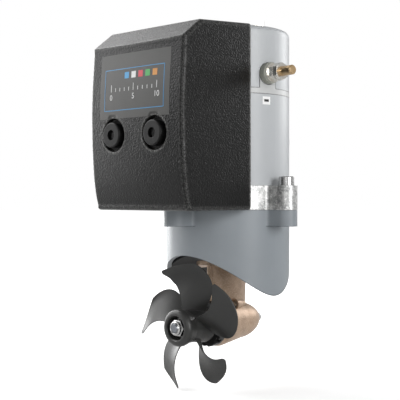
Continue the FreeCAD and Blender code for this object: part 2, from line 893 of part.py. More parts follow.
def terminal_nut(name, station, angle):
    """Return a nut with chamfered corners on a terminal stud."""
    end = f"{station} + nut_height"
    prism = hexagon(name + "_hex", "nut_flats", "nut_height", station, 0, "stud_height", (Y_AXIS, 90))
    barrel = body(name + "_barrel")
    revolve(barrel, outline(sketch(barrel, "XZ_Plane"), [
        (station, "stud_radius"),
        (end, "stud_radius"),
        (end, "nut_flats / 2"),
        (f"{end} - 0.6", "nut_flats / sqrt(3)"),
        (f"{station} + 0.6", "nut_flats / sqrt(3)"),
        (station, "nut_flats / 2"),
    ]), "H_Axis")
    place(barrel, z="stud_height")
    shaped = overlap(name + "_shape", [prism, barrel])
    return turned_about_z(name, shaped, value(angle) - 90)


# ---------------------------------------------------------------- brackets

def eared_ring(label, foot, head, ear_foot):
    """Return a round block with four ears that carry the bracket screws."""
    block = body(label)
    drawing = sketch(block, "XY_Plane", foot)
    circle(drawing, "0", "0", "motor_radius")
    pad(block, drawing, f"({head}) - ({foot})")
    ears = outline(sketch(block, "XY_Plane", ear_foot), ear_points())
    ear = pad(block, ears, f"({head}) - ({ear_foot})")
    ring_pattern(block, [ear], "4")
    return block


def motor_bracket():
    """Cast ring between motor and saddle, open below, with a web round the motor's nose."""
    block = eared_ring("upper_block", "bracket_foot", "yoke_foot", "bracket_foot")
    hollow = upright("upper_hollow", [
        ("0", "bracket_foot - 1"),
        ("motor_radius - 8", "bracket_foot - 1"),
        ("motor_radius - 8", "yoke_foot - 10"),
        ("motor_radius - 12", "yoke_foot - 6"),
        ("bearing_radius + 4.5 + fit", "yoke_foot - 6"),
        ("bearing_radius + 4.5 + fit", "yoke_foot + 1"),
        ("0", "yoke_foot + 1"),
    ])
    node("motor_bracket", cut("upper_cut", block, join("upper_cuts", [hollow, ear_holes("upper")])))


def ear_holes(name):
    """Return the four screw holes through the ears."""
    holes = body(name + "_ear_holes", group=True)
    drawing = circle(sketch(holes, "XY_Plane", "bracket_foot - 30"), "ear_place", "0",
                     "ear_screw_radius + fit")
    solid = pad(holes, drawing, "60")
    ring_pattern(holes, [solid], "4")
    return holes


def tunnel_cylinder(name, radius, half_length="80"):
    """Return a cylinder about the tunnel axis."""
    return cylinder(name, radius, f"2 * ({half_length})", 0, f"-({half_length})", 0, (X_AXIS, -90))


def saddle_bracket():
    """Skirt whose lower edge and pad fit the tunnel, with a curved floor and a boss for the leg."""
    block = eared_ring("lower_block", "20", "bracket_foot", "bracket_foot - ear_depth")
    hollow = cylinder("skirt_hollow", "motor_radius - skirt_wall", "90", 0, 0, "10")
    boss = cylinder("floor_boss", "boss_radius", "boss_head - 40", 0, 0, "40")
    floor_top = tunnel_cylinder("floor_top", "floor_top_radius")
    upper_room = cut("upper_room", hollow, join("floor_block", [floor_top, boss]))
    ends = [
        overlap(f"end_room_{index}", [
            cylinder(f"end_hollow_{index}", "motor_radius - skirt_wall", "90", 0, 0, "10"),
            tunnel_cylinder(f"floor_under_{index}", "floor_under_radius"),
            box(f"end_block_{index}", ("-60", start, "0"), ("60", end, "90")),
        ])
        for index, (start, end) in enumerate((("-60", "-pad_half_length"), ("pad_half_length", "60")))
    ]
    pad_room = overlap("pad_room", [
        cylinder("pad_hollow", "motor_radius - skirt_wall", "90", 0, 0, "10"),
        tunnel_cylinder("pad_face", "pad_face_radius"),
        box("pad_block", ("-60", "-pad_half_length", "0"), ("60", "pad_half_length", "90")),
    ])
    tunnel = tunnel_cylinder("tunnel_outside", SADDLE)
    neck_hole = cylinder("neck_hole", "neck_radius + fit", "60", 0, 0, "40")
    screw_holes = [cylinder(f"leg_screw_hole_{index}", "leg_screw_radius + 0.3", "60", 0,
                            f"{side}leg_screw_place", "40") for index, side in enumerate(("", "-"))]
    cuts = join("saddle_cuts", [upper_room, *ends, pad_room, tunnel, neck_hole, *screw_holes,
                                ear_holes("lower")])
    node("saddle_bracket", cut("saddle_cut", block, cuts))


def tunnel_gasket():
    """Rubber gasket between the saddle's pad and the tunnel."""
    plan = cylinder("gasket_plan", "motor_radius - skirt_wall - 0.2", "90", 0, 0, "10")
    outer = tunnel_cylinder("gasket_top", "pad_face_radius")
    wide = box("gasket_block", ("-60", "-pad_half_length", "0"), ("60", "pad_half_length", "90"))
    sheet_block = overlap("gasket_shape", [plan, outer, wide])
    holes = [cylinder(f"gasket_hole_{index}", "leg_screw_radius + 1", "60", 0, f"{side}leg_screw_place",
                      "40") for index, side in enumerate(("", "-"))]
    tools = join("gasket_cuts", [
        tunnel_cylinder("gasket_under", SADDLE),
        cylinder("gasket_neck", "neck_radius + 0.5", "60", 0, 0, "40"),
        *holes,
    ])
    node("tunnel_gasket", cut("gasket_cut", sheet_block, tools))


def bracket_bolts():
    """Four socket-head cap screws that join the two brackets through their ears."""
    screws = []
    for index in range(4):
        lift = "sheet" if index == 3 else "0"
        seat = f"yoke_foot + {lift}"
        made = body(f"ear_screw_{index}")
        revolve(made, outline(sketch(made, "XZ_Plane"), [
            ("0", "bracket_foot - ear_depth + 0.6"),
            ("ear_screw_radius", "bracket_foot - ear_depth + 0.6"),
            ("ear_screw_radius", seat),
            ("ear_screw_head", seat),
            ("ear_screw_head", f"{seat} + ear_screw_head_height - 0.7"),
            ("ear_screw_head - 0.7", f"{seat} + ear_screw_head_height"),
            ("0", f"{seat} + ear_screw_head_height"),
        ]), "V_Axis")
        place(made, x="ear_place")
        socket = hexagon(f"ear_socket_{index}", "6", "5", "ear_place", 0,
                         f"{seat} + ear_screw_head_height - 4")
        screw = cut(f"socket_screw_{index}", made, socket)
        screws.append(turned_about_z(f"ear_screw_at_{index}", screw, 90 * index))
    node("bracket_bolts", gather("bracket_bolt_group", screws))


def leg_screws():
    """Two hexagon screws that pull the leg up against the inside of the tunnel."""
    screws = []
    for index, side in enumerate(("", "-")):
        across = f"{side}leg_screw_place"
        rod = cylinder(f"leg_rod_{index}", "leg_screw_radius", "boss_head - 38", 0, across, "38")
        head = hexagon(f"leg_head_{index}", "10", "4.5", 0, across, "boss_head")
        screws.append(join(f"leg_screw_{index}", [rod, head]))
    node("leg_screws", gather("leg_screw_pair", screws))


# ---------------------------------------------------------------- gear leg

def pod_points():
    """Return the outside of the gear pod as (station, radius) points."""
    depth = "(tail_end - dome_start)"
    return [
        ("pod_front", "0"),
        ("pod_front", "pod_front_radius"),
        ("pod_belly", "pod_belly_radius"),
        ("dome_start", "dome_radius", f"{depth} * 1.5"),
        ("tail_end", "tail_radius"),
        ("tail_end", "0"),
    ]


def strut_points(shrink):
    """Return the strut's section: a rounded rib in front, a groove, then a curved body."""
    front = f"(strut_front + {shrink})"
    back = f"(strut_back - {shrink})"
    neck = "rib_half_width + 1.6"
    chord = f"({back} - {front} - 4.5)"
    rise = f"(strut_half_thickness - {shrink} / 2 - 2.8)"
    side = f"(({chord} / 2)^2 + {rise}^2) / (2 * {rise})"
    return [
        (front, "-rib_half_width + 0.8", "2.6"),
        (front, "rib_half_width - 0.8"),
        (f"{front} + 1", "rib_half_width"),
        (f"{front} + 3", "rib_half_width"),
        (f"{front} + 4.5", neck, side),
        (back, "1.6", "2.2"),
        (back, "-1.6", side),
        (f"{front} + 4.5", f"-({neck})"),
        (f"{front} + 3", "-rib_half_width"),
        (f"{front} + 1", "-rib_half_width"),
    ]


def gear_leg():
    """Cast bronze leg: flange and neck on top, strut, gear pod, and a boss for the oil plug."""
    pod = level("pod", pod_points())
    strut = body("strut")
    lower = outline(sketch(strut, "XY_Plane", "10"), lying(strut_points("1.5")))
    upper = outline(sketch(strut, "XY_Plane", "51"), lying(strut_points("0")))
    loft = strut.newObject("PartDesign::AdditiveLoft", "strut_loft")
    loft.Profile = lower
    loft.Sections = [upper]
    loft.Ruled = True
    flange_plan = body("flange_plan")
    corners = rounded("-flange_half_width", "flange_half_width", "-flange_half_length",
                      "flange_half_length", "(flange_half_width - 2)")
    pad(flange_plan, outline(sketch(flange_plan, "XY_Plane", "30"), corners), "30")
    flange_out = tunnel_cylinder("flange_out", "tunnel_radius")
    flange_in = tunnel_cylinder("flange_in", "tunnel_radius - flange_thickness")
    flange = cut("flange", overlap("flange_round", [flange_plan, flange_out]), flange_in)
    neck = cylinder("neck", "neck_radius", "neck_head - 49", 0, 0, "49")
    boss = plug_boss("boss", "4.9", "2.6", "12")
    solid = join("leg_solid", [pod, strut, flange, neck, boss])
    stack = upright("shaft_bore", [
        ("0", "0"),
        ("9.8", "0"),
        ("9.8", "14"),
        ("7.4", "14"),
        ("7.4", "bush_foot"),
        ("bush_radius", "bush_foot"),
        ("bush_radius", "bush_head"),
        ("drive_shaft_radius + 1", "bush_head"),
        ("drive_shaft_radius + 1", "leg_bearing_foot"),
        ("leg_bearing_radius", "leg_bearing_foot"),
        ("leg_bearing_radius", "neck_head + 1"),
        ("0", "neck_head + 1"),
    ])
    chamber = level("chamber", lying([
        ("0", "pod_front - 1"),
        ("chamber_radius", "pod_front - 1"),
        ("chamber_radius", "rear_bearing_start - 0.3"),
        ("rear_bearing_radius", "rear_bearing_start - 0.3"),
        ("rear_bearing_radius", "shaft_tail + 0.5"),
        ("5.2", "shaft_tail + 0.5"),
        ("3.5", "23"),
        ("2.6", "23"),
        ("2.6", "tail_end + 1"),
        ("0", "tail_end + 1"),
    ]))
    screw_holes = [cylinder(f"leg_tap_{index}", "leg_screw_radius + 0.02", "30", 0,
                            f"{side}leg_screw_place", "37") for index, side in enumerate(("", "-"))]
    plug_hole = plug_boss("plug_hole", "plug_radius", "plug_radius", "8", "-0.5")
    nose_room = cylinder("nose_room", "pod_front_radius + 0.4", "30", 0, "pod_front - 30", 0, (X_AXIS, -90))
    cuts = join("leg_cuts", [stack, chamber, nose_room, *screw_holes, plug_hole])
    node("gear_leg", cut("leg_cut", solid, cuts))


def plug_boss(name, mouth, tail, length, start="0"):
    """Return a cone for the oil plug's boss or hole, whose mouth faces the propeller."""
    made = doc.addObject("Part::Cone", name)
    bind(made, "Radius1", mouth)
    bind(made, "Radius2", tail)
    bind(made, "Height", length)
    return place(made, "plug_across", f"-5 + ({start})", "plug_height", (X_AXIS, -90))


def oil_plug():
    """Slotted screw that closes the oil filler in the leg's boss."""
    thread = "plug_radius - fit"
    screw = level("plug_screw", [
        ("-1.5", "0"),
        ("-1.5", "plug_radius - 0.5"),
        ("-1", thread),
        ("2.4", thread),
        ("2.4", "0"),
    ])
    slot = box("plug_slot", ("-4", "-2", "-0.5"), ("4", "-0.4", "0.5"))
    made = cut("slotted_plug", screw, slot)
    placed = doc.addObject("Part::Compound", "set_plug")
    placed.Links = [made]
    place(placed, "plug_across", "0", "plug_height")
    node("oil_plug", placed)


def leg_internals():
    """Bearings, bush and seals of the two shafts in the leg."""
    node("upper_shaft_bearing", bearing("drive_ring", upright, "drive_shaft_radius",
                                        "leg_bearing_radius", "leg_bearing_foot", "leg_bearing_width"))
    node("drive_shaft_seal", upright("drive_seal", [
        ("drive_shaft_radius + fit", "64.5"),
        ("drive_shaft_radius + 1.5", "62.2"),
        ("leg_bearing_radius", "62.2"),
        ("leg_bearing_radius", "68.5"),
        ("8", "68.5"),
        ("8", "65.5"),
        ("drive_shaft_radius + fit", "65.5"),
    ]))
    node("lower_shaft_bush", upright("drive_bush", tube("drive_shaft_radius + fit", "bush_radius",
                                                        "bush_foot", "bush_head")))
    node("front_propeller_bearing", bearing("front_ring", level, "propeller_shaft_radius",
                                            "front_bearing_radius", "front_bearing_start",
                                            "front_bearing_width"))
    node("rear_propeller_bearing", bearing("rear_ring", level, "journal_radius", "rear_bearing_radius",
                                           "rear_bearing_start", "rear_bearing_width"))
    node("propeller_shaft_seal", level("nose_seal", lying([
        ("propeller_shaft_radius + fit", "-24"),
        ("propeller_shaft_radius + fit", "-25"),
        ("8", "-25"),
        ("8", "-28.5"),
        ("seal_radius", "-28.5"),
        ("seal_radius", "-21"),
        ("propeller_shaft_radius + 1.5", "-21"),
    ])))


def seal_cap():
    """Black end cap of the pod: it carries the front bearing and the shaft seal, and is notched."""
    cap = level("nose_cap", lying([
        ("seal_radius", "-29"),
        ("13.5", "-29"),
        ("18.8", "-29"),
        ("19.5", "-28.3"),
        ("19.5", "pod_front"),
        ("chamber_radius - fit", "pod_front"),
        ("chamber_radius - fit", "front_bearing_start + front_bearing_width"),
        ("front_bearing_radius", "front_bearing_start + front_bearing_width"),
        ("front_bearing_radius", "front_bearing_start"),
        ("seal_radius", "front_bearing_start"),
    ]))
    notches = body("cap_notches", group=True)
    drawing = outline(sketch(notches, "XZ_Plane", "24.5"), [
        ("16.8", "-2.2"),
        ("21", "-2.2"),
        ("21", "2.2"),
        ("16.8", "2.2"),
    ])
    solid = pad(notches, drawing, "6")
    ring_pattern(notches, [solid], "8", "Y_Axis")
    node("seal_cap", cut("notched_cap", cap, notches))


def zinc_anode():
    """Sacrificial cone on the pod's tail, with its cast-in stud."""
    node("zinc_anode", level("tail_cone", [
        ("24", "0"),
        ("24", "2.5"),
        ("tail_end", "2.5"),
        ("tail_end", "tail_radius"),
        ("tail_end + 4.5", "3.9", "5"),
        ("tail_end + 7.5", "0"),
    ]))


# ---------------------------------------------------------------- shafts, coupling and gears

def drive_shaft():
    """Shaft from the coupling down to the pinion."""
    node("drive_shaft", upright("leg_spindle", [
        ("0", "9"),
        ("pinion_seat_radius", "9"),
        ("pinion_seat_radius", "16.4"),
        ("drive_shaft_radius", "16.4"),
        ("drive_shaft_radius", "drive_shaft_head"),
        ("0", "drive_shaft_head"),
    ]))


def coupling_half(label, bore, back, face, jaw_end, turn):
    """Return one half of the jaw coupling: a hub with three jaws."""
    half = body(label)
    drawing = sketch(half, "XY_Plane", f"min({back}; {face})")
    circle(drawing, "0", "0", "coupling_radius")
    circle(drawing, "0", "0", f"{bore} + fit")
    pad(half, drawing, f"abs({face} - ({back}))")
    jaws = sketch(half, "XY_Plane", f"min({face}; {jaw_end})")
    along, across = "cos(jaw_half_angle)", "sin(jaw_half_angle)"
    outline(jaws, [
        (f"jaw_inner * {along}", f"-jaw_inner * {across}"),
        (f"coupling_radius * {along}", f"-coupling_radius * {across}", "-coupling_radius"),
        (f"coupling_radius * {along}", f"coupling_radius * {across}"),
        (f"jaw_inner * {along}", f"jaw_inner * {across}", "jaw_inner"),
    ])
    jaw = pad(half, jaws, f"abs({jaw_end} - ({face}))")
    ring_pattern(half, [jaw], "3")
    return place(half, turn=(Z_AXIS, turn))


def coupling():
    """Jaw coupling between motor and leg: two metal halves and a rubber star."""
    node("shaft_coupling_half", coupling_half("lower_half", "drive_shaft_radius", "79.5", "86", "93.8", 0))
    node("motor_coupling_half", coupling_half("upper_half", "6", "101", "94", "86.2", 60))
    star = body("star")
    drawing = sketch(star, "XY_Plane", "spider_foot")
    circle(drawing, "0", "0", "jaw_inner - 0.2")
    circle(drawing, "0", "0", "6.6")
    pad(star, drawing, "spider_height")
    arms = outline(sketch(star, "XY_Plane", "spider_foot"), [
        ("jaw_inner - 1", "-0.9"),
        ("coupling_radius - 0.5", "-1.9"),
        ("coupling_radius - 0.5", "1.9"),
        ("jaw_inner - 1", "0.9"),
    ])
    arm = pad(star, arms, "spider_height")
    ring_pattern(star, [arm], "6")
    node("coupling_spider", place(star, turn=(Z_AXIS, 30)))


def involute(angle):
    """Return the involute function of an angle in radians."""
    return math.tan(angle) - angle


def tooth_half_width(teeth, cone, module, backlash, lift):
    """Return half the thickness of a bevel tooth at a height above the pitch cone."""
    pressure = math.radians(20)
    pitch = module * teeth / (2 * math.cos(cone))
    base = pitch * math.cos(pressure)
    radius = pitch + lift
    if radius <= base:
        slope = involute(pressure)
    else:
        slope = involute(pressure) - involute(math.acos(base / radius))
    half_angle = (math.pi * module / 4 - backlash / 4) / pitch + slope
    return radius * half_angle


def bevel_gear(teeth, mate, axis, start_angle):
    """Return the teeth of a straight bevel gear whose cone apex is the origin."""
    module = value("gear_module")
    cone = math.atan2(teeth, mate)
    reach = module * math.hypot(teeth, mate) / 2
    scale = (reach - value("face_width")) / reach
    levels = [-1.5 * module, -0.9 * module, -0.3 * module, 0.4 * module, 0.9 * module]
    made = []
    for index in range(teeth):
        turn = FreeCAD.Rotation(axis, start_angle + FULL_TURN * index / teeth)
        corners = []
        for side in (-1, 1):
            ordered = levels if side < 0 else reversed(levels)
            for lift in ordered:
                half = tooth_half_width(teeth, cone, module, value("backlash"), lift)
                along = reach * math.cos(cone) - lift * math.sin(cone)
                out = reach * math.sin(cone) + lift * math.cos(cone)
                corners.append((along, out, side * half))
        points = [turn.multVec(tooth_point(axis, corner)) for corner in corners]
        heel = Part.makePolygon([*points, points[0]])
        toe_points = [point * scale for point in points]
        toe = Part.makePolygon([*toe_points, toe_points[0]])
        made.append(Part.makeLoft([heel, toe], True, True))
    return made


def tooth_point(axis, corner):
    """Return a point given along the gear's axis, out from it and across the tooth."""
    along, out, side = corner
    if axis == Z_AXIS:
        return V(side, out, along)
    return V(side, along, out)


def gear_blank(teeth, mate):
    """Return the root cone of a gear at heel and toe, as (along, out) numbers."""
    module = value("gear_module")
    cone = math.atan2(teeth, mate)
    reach = module * math.hypot(teeth, mate) / 2
    scale = (reach - value("face_width")) / reach
    dip = -1.25 * module
    heel = (reach * math.cos(cone) - dip * math.sin(cone), reach * math.sin(cone) + dip * math.cos(cone))
    return heel, (heel[0] * scale, heel[1] * scale)


def turned_shape(points, axis):
    """Return the solid of a closed section turned about an axis through the origin."""
    if axis == Z_AXIS:
        corners = [V(out, 0, along) for along, out in points]
    else:
        corners = [V(0, along, out) for along, out in points]
    face = Part.Face(Part.makePolygon([*corners, corners[0]]))
    return face.revolve(V(), axis, FULL_TURN)


def gears():
    """Straight bevel pinion and crown gear, in mesh above the gap between two crown teeth."""
    pinion_teeth = int(value("pinion_teeth"))
    crown_teeth = int(value("crown_teeth"))
    bore = value("pinion_seat_radius + fit")
    heel, toe = gear_blank(pinion_teeth, crown_teeth)
    blank = turned_shape([(toe[0], bore), toe, heel, (16.3, heel[1]), (16.3, bore)], Z_AXIS)
    teeth = bevel_gear(pinion_teeth, crown_teeth, Z_AXIS, 0)
    node("drive_pinion", formed("pinion", blank.multiFuse(teeth).removeSplitter()))
    bore = value("propeller_shaft_radius + fit")
    heel, toe = gear_blank(crown_teeth, pinion_teeth)
    blank = turned_shape([(toe[0], bore), toe, heel, (13, heel[1]), (13, bore)], Y_AXIS)
    teeth = bevel_gear(crown_teeth, pinion_teeth, Y_AXIS, 180 / crown_teeth)
    node("crown_gear", formed("crown", blank.multiFuse(teeth).removeSplitter()))


def propeller_shaft():
    """Shaft through the propeller, seal, bearings and crown gear, and the pin that drives the hub."""
    shaft = level("propeller_spindle", lying([
        ("0", "shaft_nose"),
        ("journal_radius - 0.8", "shaft_nose"),
        ("journal_radius", "shaft_nose + 0.8"),
        ("journal_radius", "shaft_step"),
        ("propeller_shaft_radius", "shaft_step"),
        ("propeller_shaft_radius", "13.4"),
        ("journal_radius", "13.4"),
        ("journal_radius", "shaft_tail"),
        ("0", "shaft_tail"),
    ]))
    hole = cylinder("pin_hole", "pin_radius + 0.02", "20", "-10", "pin_station", 0, (Y_AXIS, 90))
    node("propeller_shaft", cut("drilled_spindle", shaft, hole))
    node("drive_pin", cylinder("cross_pin", "pin_radius", "2 * pin_half_length", "-pin_half_length",
                               "pin_station", 0, (Y_AXIS, 90)))


# ---------------------------------------------------------------- propeller

def blade_rows(span):
    """Return the rows of points on the back and on the face of the top blade at a share of its span.

    The blade is part of a screw surface of even pitch. Its trailing edge hooks forward near the tip,
    and its leading edge sweeps back, so the tip is wide and ends in a small rounded corner.
    """
    root = value("hub_waist") - 1.5
    tip = value("blade_tip_radius") + 1
    radius = root + (tip - root) * span
    trail = 57 + 32 * span ** 4.2
    lead = 108 + 18 * span ** 2 - 8 * math.sin(math.pi * span) - 8 * max(0, 5 * span - 4) ** 3
    rake = -47.6 - 9 * span * (1 - span) + 1.5 * span ** 2
    slope = -value("blade_pitch") / FULL_TURN
    thick = value("blade_thickness") + (value("tip_thickness") - value("blade_thickness")) * span
    lean = math.atan(-slope * FULL_TURN / (2 * math.pi * radius))
    camber = 1.2 + 1.5 * span
    steps = 8
    rows = ([], [])
    for step in range(steps + 1):
        share = step / steps
        angle = trail + (lead - trail) * share
        bulge = math.sin(math.pi * share)
        half = 0.35 + (thick / 2 - 0.35) * bulge
        station = rake + slope * (angle - 90)
        for side, row in zip((1, -1), rows):
            shift = camber * bulge + side * half
            turned = math.radians(angle) + shift * math.sin(lean) / radius
            height = station + shift * math.cos(lean)
            row.append(V(radius * math.cos(turned), height, radius * math.sin(turned)))
    return rows


def blade_solid(spans):
    """Return the top blade as a solid: back and face surfaces joined by strips round the edge."""
    grids = list(zip(*[blade_rows(span) for span in spans]))
    skins = []
    for grid in grids:
        skin = Part.BSplineSurface()
        skin.interpolate([list(row) for row in grid])
        skins.append(skin)
    borders = []
    for skin in skins:
        low_u, high_u, low_v, high_v = skin.bounds()
        borders.append((skin.uIso(low_u), skin.uIso(high_u), skin.vIso(low_v), skin.vIso(high_v)))
    strips = [Part.makeRuledSurface(back.toShape(), face.toShape()) for back, face in zip(*borders)]
    shell = Part.makeShell([skin.toShape() for skin in skins] + strips)
    shell.sewShape()
    blade = Part.makeSolid(shell)
    if blade.Volume < 0:
        blade.reverse()
    return blade


def propeller():
    """Five skewed blades on a hub with a rounded nose that hides the nut."""
    blade = blade_solid((0, 0.12, 0.26, 0.4, 0.54, 0.68, 0.8, 0.87, 0.94, 1))
    blades = []
    count = int(value("blade_count"))
    for index in range(count):
        copy = blade.copy()
        copy.rotate(V(), Y_AXIS, FULL_TURN * index / count)
        blades.append(formed(f"blade_{index}", copy))
    reach = tunnel_cylinder("blade_reach", "blade_tip_radius")
    trimmed = overlap("trimmed_blades", [gather("blade_group", blades), reach])
    hub = level("hub", lying([
        ("hub_mouth_radius", "shaft_step"),
        ("hub_mouth_radius", "hub_nose + 0.8"),
        ("hub_mouth_radius + 0.8", "hub_nose"),
        ("hub_radius - hub_round", "hub_nose", "-hub_round * 1.0001"),
        ("hub_radius", "hub_nose + hub_round"),
        ("hub_radius", "hub_nose + hub_round + 1.5"),
        ("hub_waist", "hub_nose + 13"),
        ("hub_waist", "hub_nose + 20"),
        ("hub_radius - 0.6", "hub_back - 4"),
        ("hub_radius - 0.6", "hub_back - 1"),
        ("hub_radius - 1.6", "hub_back"),
        ("12", "hub_back"),
        ("12", "hub_back - 1.5"),
        ("propeller_shaft_radius + fit", "hub_back - 1.5"),
        ("propeller_shaft_radius + fit", "shaft_step"),
    ]))
    half = "pin_half_length + 0.2"
    slot = box("pin_slot", (f"-({half})", "pin_station - pin_radius - 0.1", "-pin_radius - 0.1"),
               (half, "hub_back + 1", "pin_radius + 0.1"))
    solid = join("propeller_solid", [cut("blades_outside", trimmed, bore_core()), hub])
    node("propeller", cut("propeller_cut", solid, slot))


def bore_core():
    """Return what the blades' roots must stay clear of inside the hub."""
    return cylinder("root_core", "hub_waist - 1.4", "60", 0, "-75", 0, (X_AXIS, -90))


def propeller_nut():
    """Washer and self-locking nut that hold the propeller on its shaft."""
    node("propeller_washer", level("nut_washer", lying(tube("journal_radius + fit", "8.5", "shaft_step",
                                                            "shaft_step - 1.5"))))
    hexed = hexagon("nut_hex", "nut_flats", "6", 0, "shaft_step - 1.5 - 6", 0, (X_AXIS, -90))
    turned = level("nut_turned", lying([
        ("journal_radius + fit", "shaft_step - 1.5"),
        ("nut_flats / 2 + 1", "shaft_step - 1.5"),
        ("nut_flats / 2 + 1", "shaft_step - 7"),
        ("5.9", "shaft_step - 7.5"),
        ("5.9", "shaft_step - 10.2"),
        ("5.2", "shaft_step - 10.8"),
        ("journal_radius + fit", "shaft_step - 10.8"),
    ]))
    collar = level("nut_collar", lying([
        ("journal_radius + fit", "shaft_step - 7"),
        ("5.9", "shaft_step - 7"),
        ("5.9", "shaft_step - 9.4", "-1.4001"),
        ("4.5", "shaft_step - 10.8"),
        ("journal_radius + fit", "shaft_step - 10.4"),
    ]))
    node("propeller_nut", join("lock_nut", [overlap("nut_sides", [hexed, turned]), collar]))


# ---------------------------------------------------------------- cover

# Height of each level of the cover, and how far its front corner stands forward there.
COVER_LEVELS = (
    ("cover_foot + cover_rim", "-105.4"),
    ("118", "-108.7"),
    ("150", "-111.4"),
    ("184", "-111.9"),
    ("214", "-110.3"),
    ("229", "-109.3"),
)


def cover_section(owner, height, front, inset):
    """Draw one level section of the cover: flat sides, round corners and a crowned front."""
    half = f"(cover_width / 2 - {inset})"
    edge = f"({front} + {inset})"
    corner = "cover_corner" if inset == "0" else f"(cover_corner - {inset} * 0.7)"
    span = f"({half} - {corner})"
    bow = f"(({span})^2 + crown^2) / (2 * crown)"
    back = "cover_back" if inset == "0" else "cover_back + 4"
    return outline(sketch(owner, "XY_Plane", height), [
        (f"-{half}", back),
        (f"-{half}", f"{edge} + {corner}", f"-{corner} * 1.0001"),
        (f"-{span}", edge, f"-({bow})"),
        (span, edge, f"-{corner} * 1.0001"),
        (half, f"{edge} + {corner}"),
        (half, back),
    ])


def cover_block(label, inset):
    """Return the cover's outer form, or the room inside it when inset by the wall."""
    block = body(label)
    sections = []
    for height, front in COVER_LEVELS:
        sections.append(cover_section(block, height, front, inset))
    loft = block.newObject("PartDesign::AdditiveLoft", label + "_loft")
    loft.Profile = sections[0]
    loft.Sections = sections[1:]
    foot = "cover_rim" if inset == "0" else "cover_rim + 5"
    pad(block, cover_section(block, *COVER_LEVELS[0], inset), foot, reverse=True)
    pad(block, cover_section(block, *COVER_LEVELS[-1], inset), "30")
    if inset == "0":
        round_edges(block, lambda reach: reach.ZMax < value("cover_foot") + 0.5)
    roof = roof_block(f"{label}_roof", inset)
    return overlap(f"{label}_form", [block, roof])


def roof_block(label, inset):
    """Return a block whose top has the cover's slopes, with round edges at its sides."""
    block = body(label)
    ahead = "roof_crest - 35"
    profile = outline(sketch(block, "YZ_Plane"), [
        (ahead, "80"),
        (ahead, f"roof_front_head - {inset}"),
        ("roof_crest", f"roof_crest_head - {inset}"),
        ("cover_back + 10", f"roof_back_head - {inset}"),
        ("cover_back + 10", "80"),
    ])
    pad(block, profile, f"cover_width - 2 * {inset}", midplane=True)
    if inset == "0":
        round_edges(block, lambda reach: reach.ZMin > value("roof_front_head") - 1 and reach.XLength < 1)
    return block


def round_edges(owner, chosen):
    """Round a body's edges whose bounding boxes are chosen, apart from those at the cover's open back."""
    doc.recompute()
    feature = owner.Tip
    names = [
        f"Edge{index}" for index, edge in enumerate(feature.Shape.Edges, start=1)
        if edge.BoundBox.YMin < value("cover_back") - 1 and chosen(edge.BoundBox)
    ]
    rounding = owner.newObject("PartDesign::Fillet", owner.Name + "_rounding")
    rounding.Base = (feature, names)
    bind(rounding, "Radius", "cover_round")


def control_cover():
    """Moulded cover over the controls, open behind and below, with two recesses for the knobs."""
    shell = cut("cover_shell", cover_block("cover_outside", "0"), cover_block("cover_room", "cover_wall"))
    bosses = []
    holes = []
    for index, side in enumerate(("", "-")):
        across_text = f"{side}knob_place"
        bosses.append(cylinder(f"recess_wall_{index}", "recess_radius + 2.5",
                               "recess_floor + cover_wall - cover_front", across_text,
                               "recess_floor + cover_wall", "knob_height", (X_AXIS, 90)))
        holes.append(cylinder(f"recess_{index}", "recess_radius", "20", across_text, "recess_floor",
                              "knob_height", (X_AXIS, 90)))
        holes.append(cylinder(f"cover_hole_{index}", "cover_stud_radius + 0.5", "40", across_text,
                              "recess_floor + 20", "knob_height", (X_AXIS, 90)))
    holes.append(cylinder("motor_cutout", "motor_radius + 0.8", "60", 0, 0, "210"))
    solid = join("cover_solid", [shell, *bosses])
    node("control_cover", cut("cover_cut", solid, join("cover_cuts", holes)))


def knobs():
    """Round thumb nuts on the cover studs, each with a sealing washer behind it."""
    for side, name in (("-", "left"), ("", "right")):
        across_text = f"{side}knob_place"
        knob = level(f"{name}_thumb", lying([
            ("cover_stud_radius + 0.1", "knob_face"),
            ("knob_radius - 1.2", "knob_face", "-1.2001"),
            ("knob_radius", "knob_face + 1.2"),
            ("knob_radius", "recess_floor - 1.9"),
            ("cover_stud_radius + 0.1", "recess_floor - 1.9"),
        ]))
        place(knob, across_text, "0", "knob_height")
        node(f"{name}_cover_knob", knob)
        washer = level(f"{name}_ring", lying(tube("cover_stud_radius + 0.6", "12", "recess_floor - 0.1",
                                                  "recess_floor - 1.8")))
        place(washer, across_text, "0", "knob_height")
        node(f"{name}_knob_washer", washer)


def cover_studs():
    """Two threaded studs from the contactor bracket through the cover, with a head behind the plate."""
    studs = []
    for index, side in enumerate(("", "-")):
        across_text = f"{side}knob_place"
        rod = cylinder(f"stud_rod_{index}", "cover_stud_radius", "plate_face + sheet - knob_face - 2",
                       across_text, "plate_face + sheet", "knob_height", (X_AXIS, 90))
        head = hexagon(f"stud_head_{index}", "nut_flats", "3", across_text, "plate_face + sheet + 3",
                       "knob_height", (X_AXIS, 90))
        studs.append(join(f"cover_stud_{index}", [rod, head]))
    node("cover_studs", gather("cover_stud_pair", studs))


# ---------------------------------------------------------------- controls

